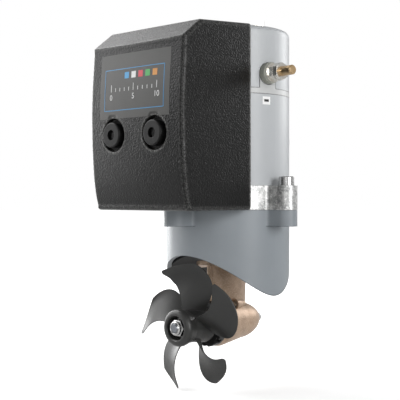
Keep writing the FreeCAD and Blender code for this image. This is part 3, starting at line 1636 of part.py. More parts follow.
def contactor_bracket():
    """Bent steel bracket under the front ear screw, with a shelf for the contactors."""
    foot = box("bracket_foot_plate", ("-15", "-ear_place - 10", "yoke_foot"),
               ("15", "plate_face + sheet", "yoke_foot + sheet"))
    plate = box("bracket_plate", ("-44", "plate_face", "yoke_foot"),
                ("44", "plate_face + sheet", "200"))
    shelf = box("bracket_shelf", ("-44", "contactor_depth - contactor_radius", "shelf_height"),
                ("44", "plate_face + 1", "shelf_height + sheet"))
    holes = [cylinder("bracket_foot_hole", "ear_screw_radius + 0.3", "10", 0, "-ear_place",
                      "yoke_foot - 4")]
    for index, side in enumerate(("", "-")):
        holes.append(cylinder(f"bracket_stud_hole_{index}", "cover_stud_radius + fit", "10",
                              f"{side}knob_place", "plate_face + 5", "knob_height", (X_AXIS, 90)))
    solid = join("bracket_solid", [foot, plate, shelf])
    node("contactor_bracket", cut("bracket_cut", solid, join("bracket_cuts", holes)))


def contactors():
    """Two contactors on the shelf: can, coil, cap with contact studs, and a sprung plunger."""
    cans = []
    coils = []
    caps = []
    studs = []
    base = "shelf_height + sheet"
    lid = f"{base} + can_height"
    for side, name in (("-", "left"), ("", "right")):
        across_text = f"{side}contactor_place"
        can = upright(f"{name}_can", [
            ("0", base),
            ("contactor_radius - 1", base, "-1.0001"),
            ("contactor_radius", f"{base} + 1"),
            ("contactor_radius", lid),
            ("contactor_radius - 1.5", lid),
            ("contactor_radius - 1.5", f"{base} + 2"),
            ("0", f"{base} + 2"),
        ])
        coil = upright(f"{name}_coil", tube("plunger_radius + 0.5", "contactor_radius - 1.6", f"{base} + 2",
                                            f"{lid} - 6"))
        cap = upright(f"{name}_cap", [
            ("3", lid),
            ("contactor_radius", lid),
            ("contactor_radius", f"{lid} + contact_cap_height - 1"),
            ("contactor_radius - 1", f"{lid} + contact_cap_height"),
            ("0", f"{lid} + contact_cap_height"),
            ("0", f"{lid} + contact_cap_height - 4"),
            ("contactor_radius - 3.5", f"{lid} + contact_cap_height - 4"),
            ("contactor_radius - 3.5", f"{lid} + 2"),
            ("3", f"{lid} + 2"),
        ])
        plunger = upright(f"{name}_slug", [
            ("0", f"{base} + 4"),
            ("plunger_radius", f"{base} + 4"),
            ("plunger_radius", f"{lid} - 6"),
            ("2", f"{lid} - 6"),
            ("2", f"{lid} + 2.4"),
            ("13", f"{lid} + 2.4"),
            ("13", f"{lid} + 4.2"),
            ("0", f"{lid} + 4.2"),
        ])
        for item in (can, coil, cap, plunger):
            place(item, across_text, "contactor_depth", "0")
        cans.append(can)
        coils.append(coil)
        drilled = []
        for spot, (dx, dy) in enumerate(((f"{side}11", "2.4"), (f"-({side}10)", "-4"))):
            foot = f"{lid} + contact_cap_height - 5"
            x = f"{across_text} + ({dx})"
            y = f"contactor_depth + ({dy})"
            rod = cylinder(f"{name}_contact_{spot}", "contact_radius", "16", x, y, foot)
            nut = hexagon(f"{name}_contact_nut_{spot}", "10", "4", x, y, f"{lid} + contact_cap_height + 2")
            studs.append(join(f"{name}_contact_stud_{spot}", [rod, nut]))
            drilled.append(cylinder(f"{name}_cap_hole_{spot}", "contact_radius + fit", "12", x, y, foot))
        caps.append(cut(f"{name}_drilled_cap", cap, join(f"{name}_cap_holes", drilled)))
        node(f"{name}_contactor_plunger", plunger)
    node("contactor_cans", gather("can_pair", cans))
    node("contactor_coils", gather("coil_pair", coils))
    node("contactor_caps", gather("cap_pair", caps))
    node("contactor_studs", gather("contact_stud_group", studs))


def busbars():
    """Copper strips: one from each contactor to its field terminal, and a link between the two."""
    low = "shelf_height + sheet + can_height + contact_cap_height"
    bars = []
    for side, name, angle in ((1, "right", "field_angle"), (-1, "left", "-field_angle")):
        lug = box(f"{name}_lug", ("60.9", "-7", "stud_height - 7"), ("61.5", "7", f"{low} + bar_thickness"))
        run = box(f"{name}_run", ("60.9", "-7", low), ("95", "7", f"{low} + bar_thickness"))
        strip = join(f"{name}_strip", [lug, run])
        laid = turned_about_z(f"{name}_strip_at", strip, value(angle) - 90)
        lug_hole = radial(f"{name}_lug_hole", [("50", "0"), ("66", "0"), ("66", "stud_radius + fit"),
                                               ("50", "stud_radius + fit")], angle, "stud_height")
        stud_hole = cylinder(f"{name}_strip_hole", "contact_radius + fit", "20",
                             f"{side} * (contactor_place + 11)", "contactor_depth + 2.4", f"{low} - 5")
        bars.append(cut(f"{name}_busbar", laid, join(f"{name}_strip_cuts", [lug_hole, stud_hole])))
    link = box("link_bar", ("-18", "contactor_depth - 9", low),
               ("18", "contactor_depth + 1", f"{low} + bar_thickness"))
    link_holes = [cylinder(f"link_hole_{index}", "contact_radius + fit", "20",
                           f"{side} * (contactor_place - 10)", "contactor_depth - 4", f"{low} - 5")
                  for index, side in enumerate((1, -1))]
    bars.append(cut("link_busbar", link, join("link_cuts", link_holes)))
    node("busbars", gather("busbar_group", bars))


def control_box():
    """Sealed electronics box on the bracket, below the cover studs."""
    box_body = body("electronics")
    face = outline(sketch(box_body, "XZ_Plane", "-plate_face"), rounded("-40", "40", "131", "153", "3"))
    pad(box_body, face, "38")
    node("control_box", box_body)


# ---------------------------------------------------------------- build, check and write

MAKERS = (
    motor_housing, pole_screws, motor_end_cap, brush_band, drive_end_shield, motor_bearings,
    drilled_pole_shoes, field_coils, armature, motor_shaft, brush_gear, through_bolts, terminals,
    motor_bracket, saddle_bracket, tunnel_gasket, bracket_bolts, leg_screws,
    gear_leg, oil_plug, leg_internals, seal_cap, zinc_anode,
    drive_shaft, coupling, gears, propeller_shaft, propeller, propeller_nut,
    control_cover, knobs, cover_studs, contactor_bracket, contactors, busbars, control_box,
)


def main():
    """Build every sub-part, check it and write its file."""
    for make in MAKERS:
        make()
    doc.recompute()
    failed = [item.Name for item in doc.Objects if {"Invalid", "Error"} & set(item.State)]
    if failed:
        raise SystemExit(f"failed objects: {', '.join(failed)}")
    for name, item in NODES.items():
        if item.Shape.isNull() or not item.Shape.isValid() or not item.Shape.Solids:
            raise SystemExit(f"{name} has no valid solid")
    os.makedirs("parts", exist_ok=True)
    for name, item in NODES.items():
        item.Shape.exportStep(os.path.join("parts", f"{name}.step"))
        print(name, len(item.Shape.Solids), round(item.Shape.Volume))


main()
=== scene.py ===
"""Looks of a bow thruster: an upright motor on a tunnel saddle with a propeller on a bronze leg."""

import logging
import math
from dataclasses import dataclass, field
from enum import Enum

import bmesh
import bpy
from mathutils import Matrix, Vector
from mathutils.bvhtree import BVHTree


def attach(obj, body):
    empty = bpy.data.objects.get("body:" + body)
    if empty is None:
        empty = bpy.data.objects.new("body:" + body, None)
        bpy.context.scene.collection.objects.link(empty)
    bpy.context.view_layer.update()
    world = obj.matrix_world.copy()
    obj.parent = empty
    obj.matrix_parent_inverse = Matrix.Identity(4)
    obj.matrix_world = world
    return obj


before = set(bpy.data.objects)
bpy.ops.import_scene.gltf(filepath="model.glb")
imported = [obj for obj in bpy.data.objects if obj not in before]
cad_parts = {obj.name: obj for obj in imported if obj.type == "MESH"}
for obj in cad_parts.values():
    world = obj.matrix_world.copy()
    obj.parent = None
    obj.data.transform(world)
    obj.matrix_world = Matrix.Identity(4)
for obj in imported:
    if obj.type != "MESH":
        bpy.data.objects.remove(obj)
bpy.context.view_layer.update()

LOG = logging.getLogger("thruster")
ROOT = "thruster"

# Sockets of the colour mix node and of the shader mix node that have no name of their own.
MIX_UNDER = 6
MIX_OVER = 7
MIX_RESULT = 2
SHADER_UNDER = 1
SHADER_OVER = 2

WHITE = (1, 1, 1, 1)
BEVEL_SAMPLES = 6
CELL_BORDER = 0.8
# Cosine of the turn between a face and its rounded edge, where an edge begins and where it is full.
EDGE_BEGINS = 0.998
EDGE_FULL = 0.95
FULLY_LIT = 1.0

Colour = tuple[float, float, float]
Corner = tuple[float, float]


def srgb(code: str) -> Colour:
    """Turn a hexadecimal colour as written on paper into linear light.

    Args:
        code: Six hexadecimal digits, without a sign in front.

    Returns:
        Red, green and blue in linear light.
    """
    parts = [int(code[start:start + 2], 16) / 255 for start in (0, 2, 4)]
    return tuple(part / 12.92 if part <= 0.04045 else ((part + 0.055) / 1.055) ** 2.4 for part in parts)


# ---------------------------------------------------------------- finishes

class ShaderSheet:
    """A material's node tree, with short ways to add the nodes that the finishes need."""

    def __init__(self, name: str) -> None:
        """Make an empty material with one surface shader.

        Args:
            name: The material's name.
        """
        self.material = bpy.data.materials.new(name)
        self.material.use_nodes = True
        self.tree = self.material.node_tree
        self.shader = self.tree.nodes["Principled BSDF"]
        self.place = self.add("ShaderNodeTexCoord").outputs["Object"]
        self.normal: bpy.types.NodeSocket | None = None

    def add(self, kind: str, **settings: object) -> bpy.types.Node:
        """Add a node and set its own properties.

        Args:
            kind: Blender's name for the node.
            **settings: Properties of the node.

        Returns:
            The new node.
        """
        made = self.tree.nodes.new(kind)
        for name, setting in settings.items():
            setattr(made, name, setting)
        return made

    def feed(self, node: bpy.types.Node, **inputs: object) -> bpy.types.Node:
        """Set or link a node's inputs, where an underscore in a name stands for a space.

        Args:
            node: The node.
            **inputs: A value, or an output to link from, for each input.

        Returns:
            The same node.
        """
        for name, source in inputs.items():
            socket = node.inputs[name.replace("_", " ")]
            if isinstance(source, bpy.types.NodeSocket):
                self.tree.links.new(source, socket)
            else:
                socket.default_value = source
        return node

    def stretched(self, scale: tuple[float, float, float]) -> bpy.types.NodeSocket:
        """Return the object's coordinates scaled along each axis.

        Args:
            scale: Factor along X, Y and Z.

        Returns:
            The scaled coordinates.
        """
        mapping = self.feed(self.add("ShaderNodeMapping"), Vector=self.place, Scale=scale)
        return mapping.outputs["Vector"]

    def noise(self, size: float, detail: float = 3.0, roughness: float = 0.55,
              vector: bpy.types.NodeSocket | None = None) -> bpy.types.NodeSocket:
        """Return noise whose blobs are about a given size across.

        Args:
            size: Size of a blob in metres.
            detail: Octaves of finer noise.
            roughness: Strength of the finer octaves.
            vector: Coordinates to use in place of the object's own.

        Returns:
            A value between 0 and 1.
        """
        made = self.add("ShaderNodeTexNoise")
        self.feed(made, Vector=vector or self.place, Scale=1 / size, Detail=detail, Roughness=roughness)
        return made.outputs["Fac"]

    def cells(self, size: float, smooth: float = 0.6) -> bpy.types.NodeSocket:
        """Return rounded cells, as on grained plastic.

        Args:
            size: Size of a cell in metres.
            smooth: How softly the cells meet.

        Returns:
            1 in the middle of a cell, falling towards its border.
        """
        made = self.add("ShaderNodeTexVoronoi", feature="SMOOTH_F1")
        self.feed(made, Vector=self.place, Scale=1 / size, Smoothness=smooth)
        return self.span(made.outputs["Distance"], 1, 0, 0, CELL_BORDER)

    def span(self, source: bpy.types.NodeSocket, low: float, high: float,
             start: float = 0.3, end: float = 0.7) -> bpy.types.NodeSocket:
        """Map a value from one range to another.

        Args:
            source: The value.
            low: Result at the start of the range.
            high: Result at its end.
            start: Start of the range.
            end: End of the range.

        Returns:
            The mapped value.
        """
        made = self.add("ShaderNodeMapRange")
        self.feed(made, Value=source, From_Min=start, From_Max=end, To_Min=low, To_Max=high)
        return made.outputs["Result"]

    def mix(self, share: bpy.types.NodeSocket, under: bpy.types.NodeSocket | Colour,
            over: Colour) -> bpy.types.NodeSocket:
        """Lay a colour over another by a share.

        Args:
            share: 0 for the colour below and 1 for the one laid over it.
            under: The colour below, plain or varying.
            over: The colour laid over it.

        Returns:
            The mixed colour.
        """
        made = self.add("ShaderNodeMix", data_type="RGBA")
        self.tree.links.new(share, made.inputs["Factor"])
        if isinstance(under, bpy.types.NodeSocket):
            self.tree.links.new(under, made.inputs[MIX_UNDER])
        else:
            made.inputs[MIX_UNDER].default_value = (*under, 1)
        made.inputs[MIX_OVER].default_value = (*over, 1)
        return made.outputs[MIX_RESULT]

    def times(self, first: bpy.types.NodeSocket, second: bpy.types.NodeSocket) -> bpy.types.NodeSocket:
        """Multiply two values.

        Args:
            first: First value.
            second: Second value.

        Returns:
            Their product.
        """
        made = self.add("ShaderNodeMath", operation="MULTIPLY")
        self.tree.links.new(first, made.inputs[0])
        self.tree.links.new(second, made.inputs[1])
        return made.outputs["Value"]

    def edges(self, radius: float) -> bpy.types.NodeSocket:
        """Return where the surface lies close to one of the piece's edges.

        Args:
            radius: Reach from the edge in metres.

        Returns:
            1 at an edge, falling to 0 on flat and gently curved faces.
        """
        bevel = self.feed(self.add("ShaderNodeBevel", samples=BEVEL_SAMPLES), Radius=radius)
        turn = self.add("ShaderNodeVectorMath", operation="DOT_PRODUCT")
        self.tree.links.new(bevel.outputs["Normal"], turn.inputs[0])
        self.tree.links.new(self.add("ShaderNodeNewGeometry").outputs["True Normal"], turn.inputs[1])
        return self.span(turn.outputs["Value"], 0, 1, EDGE_BEGINS, EDGE_FULL)

    def raise_by(self, height: bpy.types.NodeSocket, depth: float) -> None:
        """Add relief to the surface, over any relief that it has already.

        Args:
            height: Height pattern between 0 and 1.
            depth: Depth of the pattern in metres.
        """
        bump = self.feed(self.add("ShaderNodeBump"), Height=height, Distance=depth, Strength=1.0)
        if self.normal:
            self.tree.links.new(self.normal, bump.inputs["Normal"])
        self.normal = bump.outputs["Normal"]

    def soften(self, radius: float) -> None:
        """Round off the look of sharp edges.

        Args:
            radius: Radius of the rounding in metres.
        """
        bevel = self.feed(self.add("ShaderNodeBevel", samples=BEVEL_SAMPLES), Radius=radius)
        self.normal = bevel.outputs["Normal"]

    def finish(self, **inputs: object) -> bpy.types.Material:
        """Feed the surface shader and return the material.

        Args:
            **inputs: Values or outputs for the shader's inputs.

        Returns:
            The finished material.
        """
        if self.normal:
            inputs["Normal"] = self.normal
        self.feed(self.shader, **inputs)
        return self.material


@dataclass(frozen=True)
class Finish:
    """What every finish has: two close tones in patches, a gloss that varies and softened edges.

    The gloss varies about the roughness by the amounts in smoother and rougher.
    """

    name: str
    colour: str
    second: str
    roughness: float = 0.5
    smoother: float = 0.06
    rougher: float = 0.06
    metal: float = 0.0
    patch: float = 0.02
    edge: float = 0.0004
    level: float = 0.5

    def material(self) -> bpy.types.Material:
        """Return the material, which is made once and then shared.

        Returns:
            The material.
        """
        known = bpy.data.materials.get(self.name)
        if known:
            return known
        sheet = ShaderSheet(self.name)
        if self.edge:
            sheet.soften(self.edge)
        return self.draw(sheet)

    def draw(self, sheet: ShaderSheet) -> bpy.types.Material:
        """Draw the finish's own colour and relief.

        Args:
            sheet: The new material's node tree.

        Returns:
            The finished material.
        """
        raise NotImplementedError

    def tone(self, sheet: ShaderSheet) -> bpy.types.NodeSocket:
        """Return the colour, which drifts between the two tones.

        Args:
            sheet: The material's node tree.

        Returns:
            The varying colour.
        """
        drift = sheet.span(sheet.noise(self.patch), 0, 1)
        return sheet.mix(drift, srgb(self.colour), srgb(self.second))

    def gloss(self, sheet: ShaderSheet, pattern: bpy.types.NodeSocket, start: float = 0.3,
              end: float = 0.7) -> bpy.types.NodeSocket:
        """Return the roughness, which follows a pattern.

        Args:
            sheet: The material's node tree.
            pattern: The pattern.
            start: Value of the pattern where the surface is smoothest.
            end: Value where it is roughest.

        Returns:
            The varying roughness.
        """
        least, most = self.roughness - self.smoother, self.roughness + self.rougher
        return sheet.span(pattern, least, most, start, end)


@dataclass(frozen=True)
class Paint(Finish):
    """Paint, rubber or another plain material with a fine even grain, and painted shade along its edges
    if it has any.
    """

    grain: float = 0.0008
    depth: float = 0.00002
    # Colour and reach of painted shade along the piece's edges; empty for none.
    seam: str = ""
    seam_reach: float = 0.0014

    def draw(self, sheet: ShaderSheet) -> bpy.types.Material:
        """Draw the tone, the painted edge shade and the grain.

        Args:
            sheet: The new material's node tree.

        Returns:
            The finished material.
        """
        colour = self.tone(sheet)
        # Painted shade: darker along the piece's edges, where gaps between parts fall in shadow.
        if self.seam:
            colour = sheet.mix(sheet.edges(self.seam_reach), colour, srgb(self.seam))
        fine = sheet.noise(self.grain, detail=2)
        sheet.raise_by(fine, self.depth)
        return sheet.finish(Base_Color=colour, Roughness=self.gloss(sheet, fine), Metallic=self.metal,
                            Specular_IOR_Level=self.level)


@dataclass(frozen=True)
class Ink(Paint):
    """Flat print, without softened edges or relief."""

    roughness: float = 0.4
    patch: float = 0.01
    edge: float = 0.0
    depth: float = 0.0


@dataclass(frozen=True)
class GrainedPlastic(Finish):
    """Moulded plastic with a leather-like grain, and a painted highlight along its edges."""

    smoother: float = 0.05
    rougher: float = 0.07
    cell: float = 0.0011
    relief: float = 0.00012
    # Colour, reach and breaks of a painted highlight along the edges; empty colour for none.
    worn: str = ""
    worn_reach: float = 0.004
    worn_least: float = 0.15
    worn_breaks: tuple[float, float] = (0.42, 0.62)

    def draw(self, sheet: ShaderSheet) -> bpy.types.Material:
        """Draw the tone, the painted edge highlight and the grain.

        Args:
            sheet: The new material's node tree.

        Returns:
            The finished material.
        """
        colour = self.tone(sheet)
        # Painted highlight: a broken light line along the edges, where lamps catch the rounded edges.
        if self.worn:
            broken = sheet.span(sheet.noise(self.cell, detail=2), self.worn_least, 1, *self.worn_breaks)
            painted_highlight = sheet.times(sheet.edges(self.worn_reach), broken)
            colour = sheet.mix(painted_highlight, colour, srgb(self.worn))
        sheet.raise_by(sheet.cells(self.cell), self.relief)
        sheet.raise_by(sheet.noise(self.cell, detail=2), self.relief)
        rough = self.gloss(sheet, sheet.noise(self.cell, detail=2))
        return sheet.finish(Base_Color=colour, Roughness=rough, Specular_IOR_Level=self.level)


@dataclass(frozen=True)
class CastMetal(Finish):
    """Cast metal with coarse grain, pits and patches of tone.

    Slow waves lie below the grain. Their size and depth are given as multiples of the grain's own.
    """

    smoother: float = 0.08
    rougher: float = 0.1
    pit: float = 0.0013
    relief: float = 0.00012
    third: str = "ffffff"
    patch_edge: tuple[float, float] = (0.38, 0.62)
    fleck_edge: tuple[float, float] = (0.5, 0.72)
    wave_size: float = 4.0
    wave_depth: float = 0.8

    def draw(self, sheet: ShaderSheet) -> bpy.types.Material:
        """Draw the casting's mottled tone and rough skin.

        Args:
            sheet: The new material's node tree.

        Returns:
            The finished material.
        """
        patches = sheet.span(sheet.noise(self.patch, detail=5, roughness=0.7), 0, 1, *self.patch_edge)
        colour = sheet.mix(patches, srgb(self.colour), srgb(self.second))
        flecks = sheet.span(sheet.noise(self.pit, detail=4, roughness=0.7), 0, 1, *self.fleck_edge)
        colour = sheet.mix(flecks, colour, srgb(self.third))
        sheet.raise_by(sheet.noise(self.pit, detail=4, roughness=0.65), self.relief)
        waves = sheet.noise(self.pit * self.wave_size, detail=2)
        sheet.raise_by(waves, self.relief * self.wave_depth)
        rough = self.gloss(sheet, flecks, start=0, end=1)
        return sheet.finish(Base_Color=colour, Roughness=rough, Metallic=self.metal,
                            Specular_IOR_Level=self.level)


@dataclass(frozen=True)
class TurnedMetal(Finish):
    """Machined or drawn metal with fine marks round or along the piece."""

    roughness: float = 0.35
    smoother: float = 0.07
    rougher: float = 0.09
    metal: float = 1.0
    patch: float = 0.01
    edge: float = 0.0002
    grain: float = 0.0008
    depth: float = 0.00001
    stretch: tuple[float, float, float] = (1.0, 1.0, 12.0)

    def draw(self, sheet: ShaderSheet) -> bpy.types.Material:
        """Draw fine tool marks and a slight change of tone.

        Args:
            sheet: The new material's node tree.

        Returns:
            The finished material.
        """
        colour = self.tone(sheet)
        marks = sheet.noise(self.grain, detail=3, roughness=0.6, vector=sheet.stretched(self.stretch))
        sheet.raise_by(marks, self.depth)
        return sheet.finish(Base_Color=colour, Roughness=self.gloss(sheet, marks), Metallic=self.metal,
                            Specular_IOR_Level=self.level)


MOTOR_PAINT = Paint("motor_paint_finish", "b9bcbe", "b3b6b9", roughness=0.38, patch=0.06, edge=0.0005,
                    grain=0.0006, depth=0.000006)
# The saddle's darker edges are painted shade, as along its rim.
SKIRT_PAINT = Paint("skirt_paint_finish", "8b9196", "868c91", roughness=0.42, patch=0.03, edge=0.0006,
                    grain=0.0005, depth=0.00001, seam="565b60", seam_reach=0.0008)
# The band's darker edges are painted shade, standing in for the shadowed gap between band and can.
BAND_PAINT = Paint("band_finish", "c4c5c5", "bbbcbc", roughness=0.4, edge=0.0002, grain=0.0005,
                   depth=0.00001, seam="4a4b4c")
CAST_BRACKET = CastMetal("bracket_cast_finish", "c9c9c8", "8f9090", roughness=0.42, metal=0.75,
                         patch=0.006, edge=0.0008, pit=0.0014, relief=0.00016, third="f4f4f2")
CAST_BRONZE = CastMetal("bronze_finish", "bda38c", "a78e78", roughness=0.48, metal=0.5, patch=0.01,
                        edge=0.0008, pit=0.0012, relief=0.00018, third="d2bba6")
# The light colour along the cover's edges is a painted highlight.
COVER_PLASTIC = GrainedPlastic("cover_finish", "0c0c0c", "090909", roughness=0.31, patch=0.05,
                               edge=0.0014, level=0.27, cell=0.0013, relief=0.00017, worn="767674")
KNOB_PLASTIC = GrainedPlastic("knob_finish", "0e0e0e", "0b0b0b", roughness=0.4, edge=0.0003, level=0.24,
                              cell=0.0006, relief=0.00001)
BLACK_PLASTIC = GrainedPlastic("black_plastic_finish", "1c1c1c", "171717", roughness=0.42, edge=0.0005,
                               cell=0.0006, relief=0.00002)
PROPELLER_PLASTIC = GrainedPlastic("propeller_finish", "30302f", "2b2b2a", roughness=0.4, patch=0.03,
                                   edge=0.0008, cell=0.0012, relief=0.000004)
# Black-plated steel, made this dark partly for the plating and partly as painted shade, so the studs'
# ends in the knobs' bores read as dark holes.
BLACK_STEEL_AND_SHADE = TurnedMetal("black_steel_and_shade_finish", "101010", "0c0c0c", roughness=0.25, metal=0.6)
RUBBER = Paint("rubber_finish", "171717", "1e1e1e", roughness=0.75, patch=0.01, edge=0.0003,
               grain=0.0006, depth=0.00003)
STAINLESS = TurnedMetal("stainless_finish", "c9c9c8", "b4b4b4", roughness=0.26, depth=0.000008)
STEEL = TurnedMetal("steel_finish", "9a9b9c", "858687", roughness=0.36)
SHAFT_STEEL = TurnedMetal("shaft_steel_finish", "8b8e94", "7a7d82", roughness=0.34)
NICKEL = TurnedMetal("nickel_finish", "e6e3dd", "d3cfc7", roughness=0.24, patch=0.006, grain=0.0006,
                     depth=0.000006)
BRASS = TurnedMetal("stud_brass_finish", "cfb48e", "bb9d74", roughness=0.3, patch=0.005, grain=0.0006,
                    depth=0.000008)
COPPER = TurnedMetal("copper_finish", "c07a55", "a4603e", roughness=0.34, patch=0.008, grain=0.0007)
ZINC = CastMetal("zinc_finish", "c6c6c3", "a5a5a2", metal=0.6, patch=0.006, pit=0.001, relief=0.00008,
                 third="dededb")
INSULATOR = Paint("insulator_finish", "a9aa9f", "97988e", patch=0.004, edge=0.0003, grain=0.0005,
                  depth=0.00001)
SHEET_STEEL = TurnedMetal("sheet_steel_finish", "b7bab6", "9fa29e", roughness=0.38, metal=0.9,
                          patch=0.02, edge=0.0003, grain=0.001)
LAMINATION = TurnedMetal("lamination_finish", "6d6e70", "5a5b5d", roughness=0.5, metal=0.9,
                         grain=0.0007, depth=0.00004, stretch=(1.0, 1.0, 60.0))
CARBON = Paint("carbon_finish", "2b2b2d", "232325", roughness=0.6, metal=0.2, patch=0.004, edge=0.0002,
               grain=0.0003, depth=0.00001)

LABEL_FILM = Paint("label_film_finish", "3f3f3d", "3b3b39", roughness=0.45, edge=0.0, depth=0.00001)
LABEL_BLUE = Ink("label_blue_finish", "3f8fc4", "3887bc")
STICKER = Ink("sticker_finish", "f4f4f4", "eeeeee", roughness=0.45, patch=0.004, grain=0.0006)
INK_BLACK = Ink("ink_black_finish", "161616", "101010", roughness=0.5, patch=0.004, grain=0.0006)
INK_SKY = Ink("ink_sky_finish", "3fa0d8", "3a98d0")
INK_WHITE = Ink("ink_white_finish", "e8e8e8", "dedede")
INK_RED = Ink("ink_red_finish", "d8394a", "cc3344")
INK_GREEN = Ink("ink_green_finish", "3faa55", "38a04e")
INK_ORANGE = Ink("ink_orange_finish", "d8923a", "cc8833")


# ---------------------------------------------------------------- artwork laid onto the pieces

class Axis(Enum):
    """Direction in which flat artwork is laid onto a piece."""

    FRONT = "front"
    ROUND = "round"


@dataclass
class Artwork:
    """Flat artwork laid onto the surface of a CAD piece.

    A point of the artwork is (across, height) in metres, with the height above the tunnel's centre
    line. On a front it is cast along Y from start_depth. On a round piece the first number is the way
    round it from a given angle, and the point is cast inwards from start_reach.
    """

    base: str
    axis: Axis = Axis.FRONT
    angle: float = 0.0
    gap: float = 0.00006
    wall_radius: float = 0.054
    start_depth: float = -0.3
    start_reach: float = 0.2

    def __post_init__(self) -> None:
        """Prepare the search for the surface below each point."""
        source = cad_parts[self.base]
        mesh = bmesh.new()
        mesh.from_mesh(source.data)
        mesh.transform(source.matrix_world)
        self.tree = BVHTree.FromBMesh(mesh)
        mesh.free()

    def spot(self, across: float, height: float, lift: float) -> Vector:
        """Return the place just above the surface for a point of the artwork.

        Args:
            across: Distance across the artwork.
            height: Height above the tunnel's centre line.
            lift: Extra height above the surface.

        Returns:
            The place in the frame that all pieces share.
        """
        if self.axis is Axis.FRONT:
            start, aim = Vector((across, self.start_depth, height)), Vector((0, 1, 0))
        else:
            turn = self.angle + across / self.wall_radius
            out = Vector((math.sin(turn), -math.cos(turn), 0))
            start, aim = out * self.start_reach + Vector((0, 0, height)), -out
        hit, _, _, _ = self.tree.ray_cast(start, aim)
        return hit - aim * (self.gap + lift)

    def bar(self, name: str, low: Corner, high: Corner, finish: Finish, lift: float = 0.0,
            step: float = 0.004) -> bpy.types.Object:
        """Lay a rectangle between two corners.

        Args:
            name: The piece's name.
            low: Lower left corner.
            high: Upper right corner.
            finish: The piece's finish.
            lift: Extra height above the surface.
            step: Largest distance between two points of its mesh.

        Returns:
            The new piece.
        """
        wide, tall = high[0] - low[0], high[1] - low[1]
        columns = max(1, math.ceil(wide / step))
        rows = max(1, math.ceil(tall / step))
        spots = [
            self.spot(low[0] + wide * column / columns, low[1] + tall * row / rows, lift)
            for row in range(rows + 1) for column in range(columns + 1)
        ]
        faces = []
        for row in range(rows):
            for column in range(columns):
                first = row * (columns + 1) + column
                faces.append((first, first + 1, first + columns + 2, first + columns + 1))
        return self.add_piece(name, spots, faces, finish)

    def number(self, name: str, text: str, middle: Corner, size: float, finish: Finish,
               lift: float = 0.0) -> bpy.types.Object:
        """Lay one plain number, centred on a point.

        Args:
            name: The piece's name.
            text: The number.
            middle: Its middle.
            size: Height of the type.
            finish: The piece's finish.
            lift: Extra height above the surface.

        Returns:
            The new piece.
        """
        curve = bpy.data.curves.new(name, "FONT")
        curve.body = text
        curve.size = size
        curve.align_x = "CENTER"
        curve.align_y = "CENTER"
        holder = bpy.data.objects.new(name + "_type", curve)
        bpy.context.scene.collection.objects.link(holder)
        graph = bpy.context.evaluated_depsgraph_get()
        flat = bpy.data.meshes.new_from_object(holder.evaluated_get(graph))
        bpy.data.objects.remove(holder)
        spots = [
            self.spot(middle[0] + vertex.co.x, middle[1] + vertex.co.y, lift) for vertex in flat.vertices
        ]
        faces = [tuple(face.vertices) for face in flat.polygons]
        bpy.data.meshes.remove(flat)
        return self.add_piece(name, spots, faces, finish)

    def add_piece(self, name: str, spots: list[Vector], faces: list[tuple[int, ...]],
                  finish: Finish) -> bpy.types.Object:
        """Make a mesh piece that rides with the thruster's fixed body.

        Args:
            name: The piece's name.
            spots: Its points.
            faces: Its faces.
            finish: Its finish.

        Returns:
            The new piece.
        """
        mesh = bpy.data.meshes.new(name)
        mesh.from_pydata([tuple(spot) for spot in spots], [], faces)
        mesh.update()
        piece = bpy.data.objects.new(name, mesh)
        bpy.context.scene.collection.objects.link(piece)
        mesh.materials.append(finish.material())
        mesh.shade_smooth()
        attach(piece, ROOT)
        LOG.info("added %s on %s", name, self.base)
        return piece


@dataclass
class CoverLabel:
    """Printed film on the cover's front: a thin frame, a plain scale and a strip of coloured squares."""

    film_low: Corner = (-0.0414, 0.1735)
    film_high: Corner = (0.0410, 0.2262)
    film_lift: float = 0.00003
    film_step: float = 0.002
    frame_low: Corner = (-0.0355, 0.1800)
    frame_high: Corner = (0.0350, 0.2140)
    line: float = 0.0006
    print_lift: float = 0.00012
    scale_low: float = 0.1955
    scale_half: float = 0.0270
    ticks: int = 11
    tick_tall: float = 0.0030
    long_tick_tall: float = 0.0058
    number_size: float = 0.0064
    number_drop: float = 0.75
    square: float = 0.0052
    square_gap: float = 0.0030
    square_low: float = 0.2055
    inks: tuple[Finish, ...] = (INK_SKY, INK_WHITE, INK_RED, INK_GREEN, INK_ORANGE)

    def build(self) -> None:
        """Lay the film, then the frame, the scale and the squares on it."""
        art = Artwork("control_cover")
        art.bar("label_film", self.film_low, self.film_high, LABEL_FILM, self.film_lift, self.film_step)
        self.lay_frame(art)
        self.lay_scale(art)
        self.lay_squares(art)

    def lay_frame(self, art: Artwork) -> None:
        """Lay the frame's four thin bars.

        Args:
            art: The artwork on the cover.
        """
        low, high, line = self.frame_low, self.frame_high, self.line
        bars = {
            "left": (low, (low[0] + line, high[1])),
            "right": ((high[0] - line, low[1]), high),
            "below": (low, (high[0], low[1] + line)),
            "above": ((low[0], high[1] - line), high),
        }
        for side, (first, last) in bars.items():
            art.bar(f"label_frame_{side}", first, last, LABEL_BLUE, self.print_lift)

    def lay_scale(self, art: Artwork) -> None:
        """Lay a row of ticks, with a number below its first, middle and last one.

        Args:
            art: The artwork on the cover.
        """
        last = self.ticks - 1
        half = self.line / 2
        number_height = self.scale_low - self.number_size * self.number_drop
        for index in range(self.ticks):
            across = self.scale_half * (2 * index / last - 1)
            numbered = index % (last // 2) == 0
            top = self.scale_low + (self.long_tick_tall if numbered else self.tick_tall)
            art.bar(f"label_tick_{index}", (across - half, self.scale_low), (across + half, top),
                    INK_WHITE, self.print_lift)
            if numbered:
                art.number(f"label_number_{index}", str(index), (across, number_height),
                           self.number_size, INK_WHITE, self.print_lift)

    def lay_squares(self, art: Artwork) -> None:
        """Lay the coloured squares in a row that ends above the scale's last tick.

        Args:
            art: The artwork on the cover.
        """
        top = self.square_low + self.square
        for index, ink in enumerate(reversed(self.inks)):
            right = self.scale_half - index * (self.square + self.square_gap)
            art.bar(f"label_square_{len(self.inks) - index}", (right - self.square, self.square_low),
                    (right, top), ink, self.print_lift)


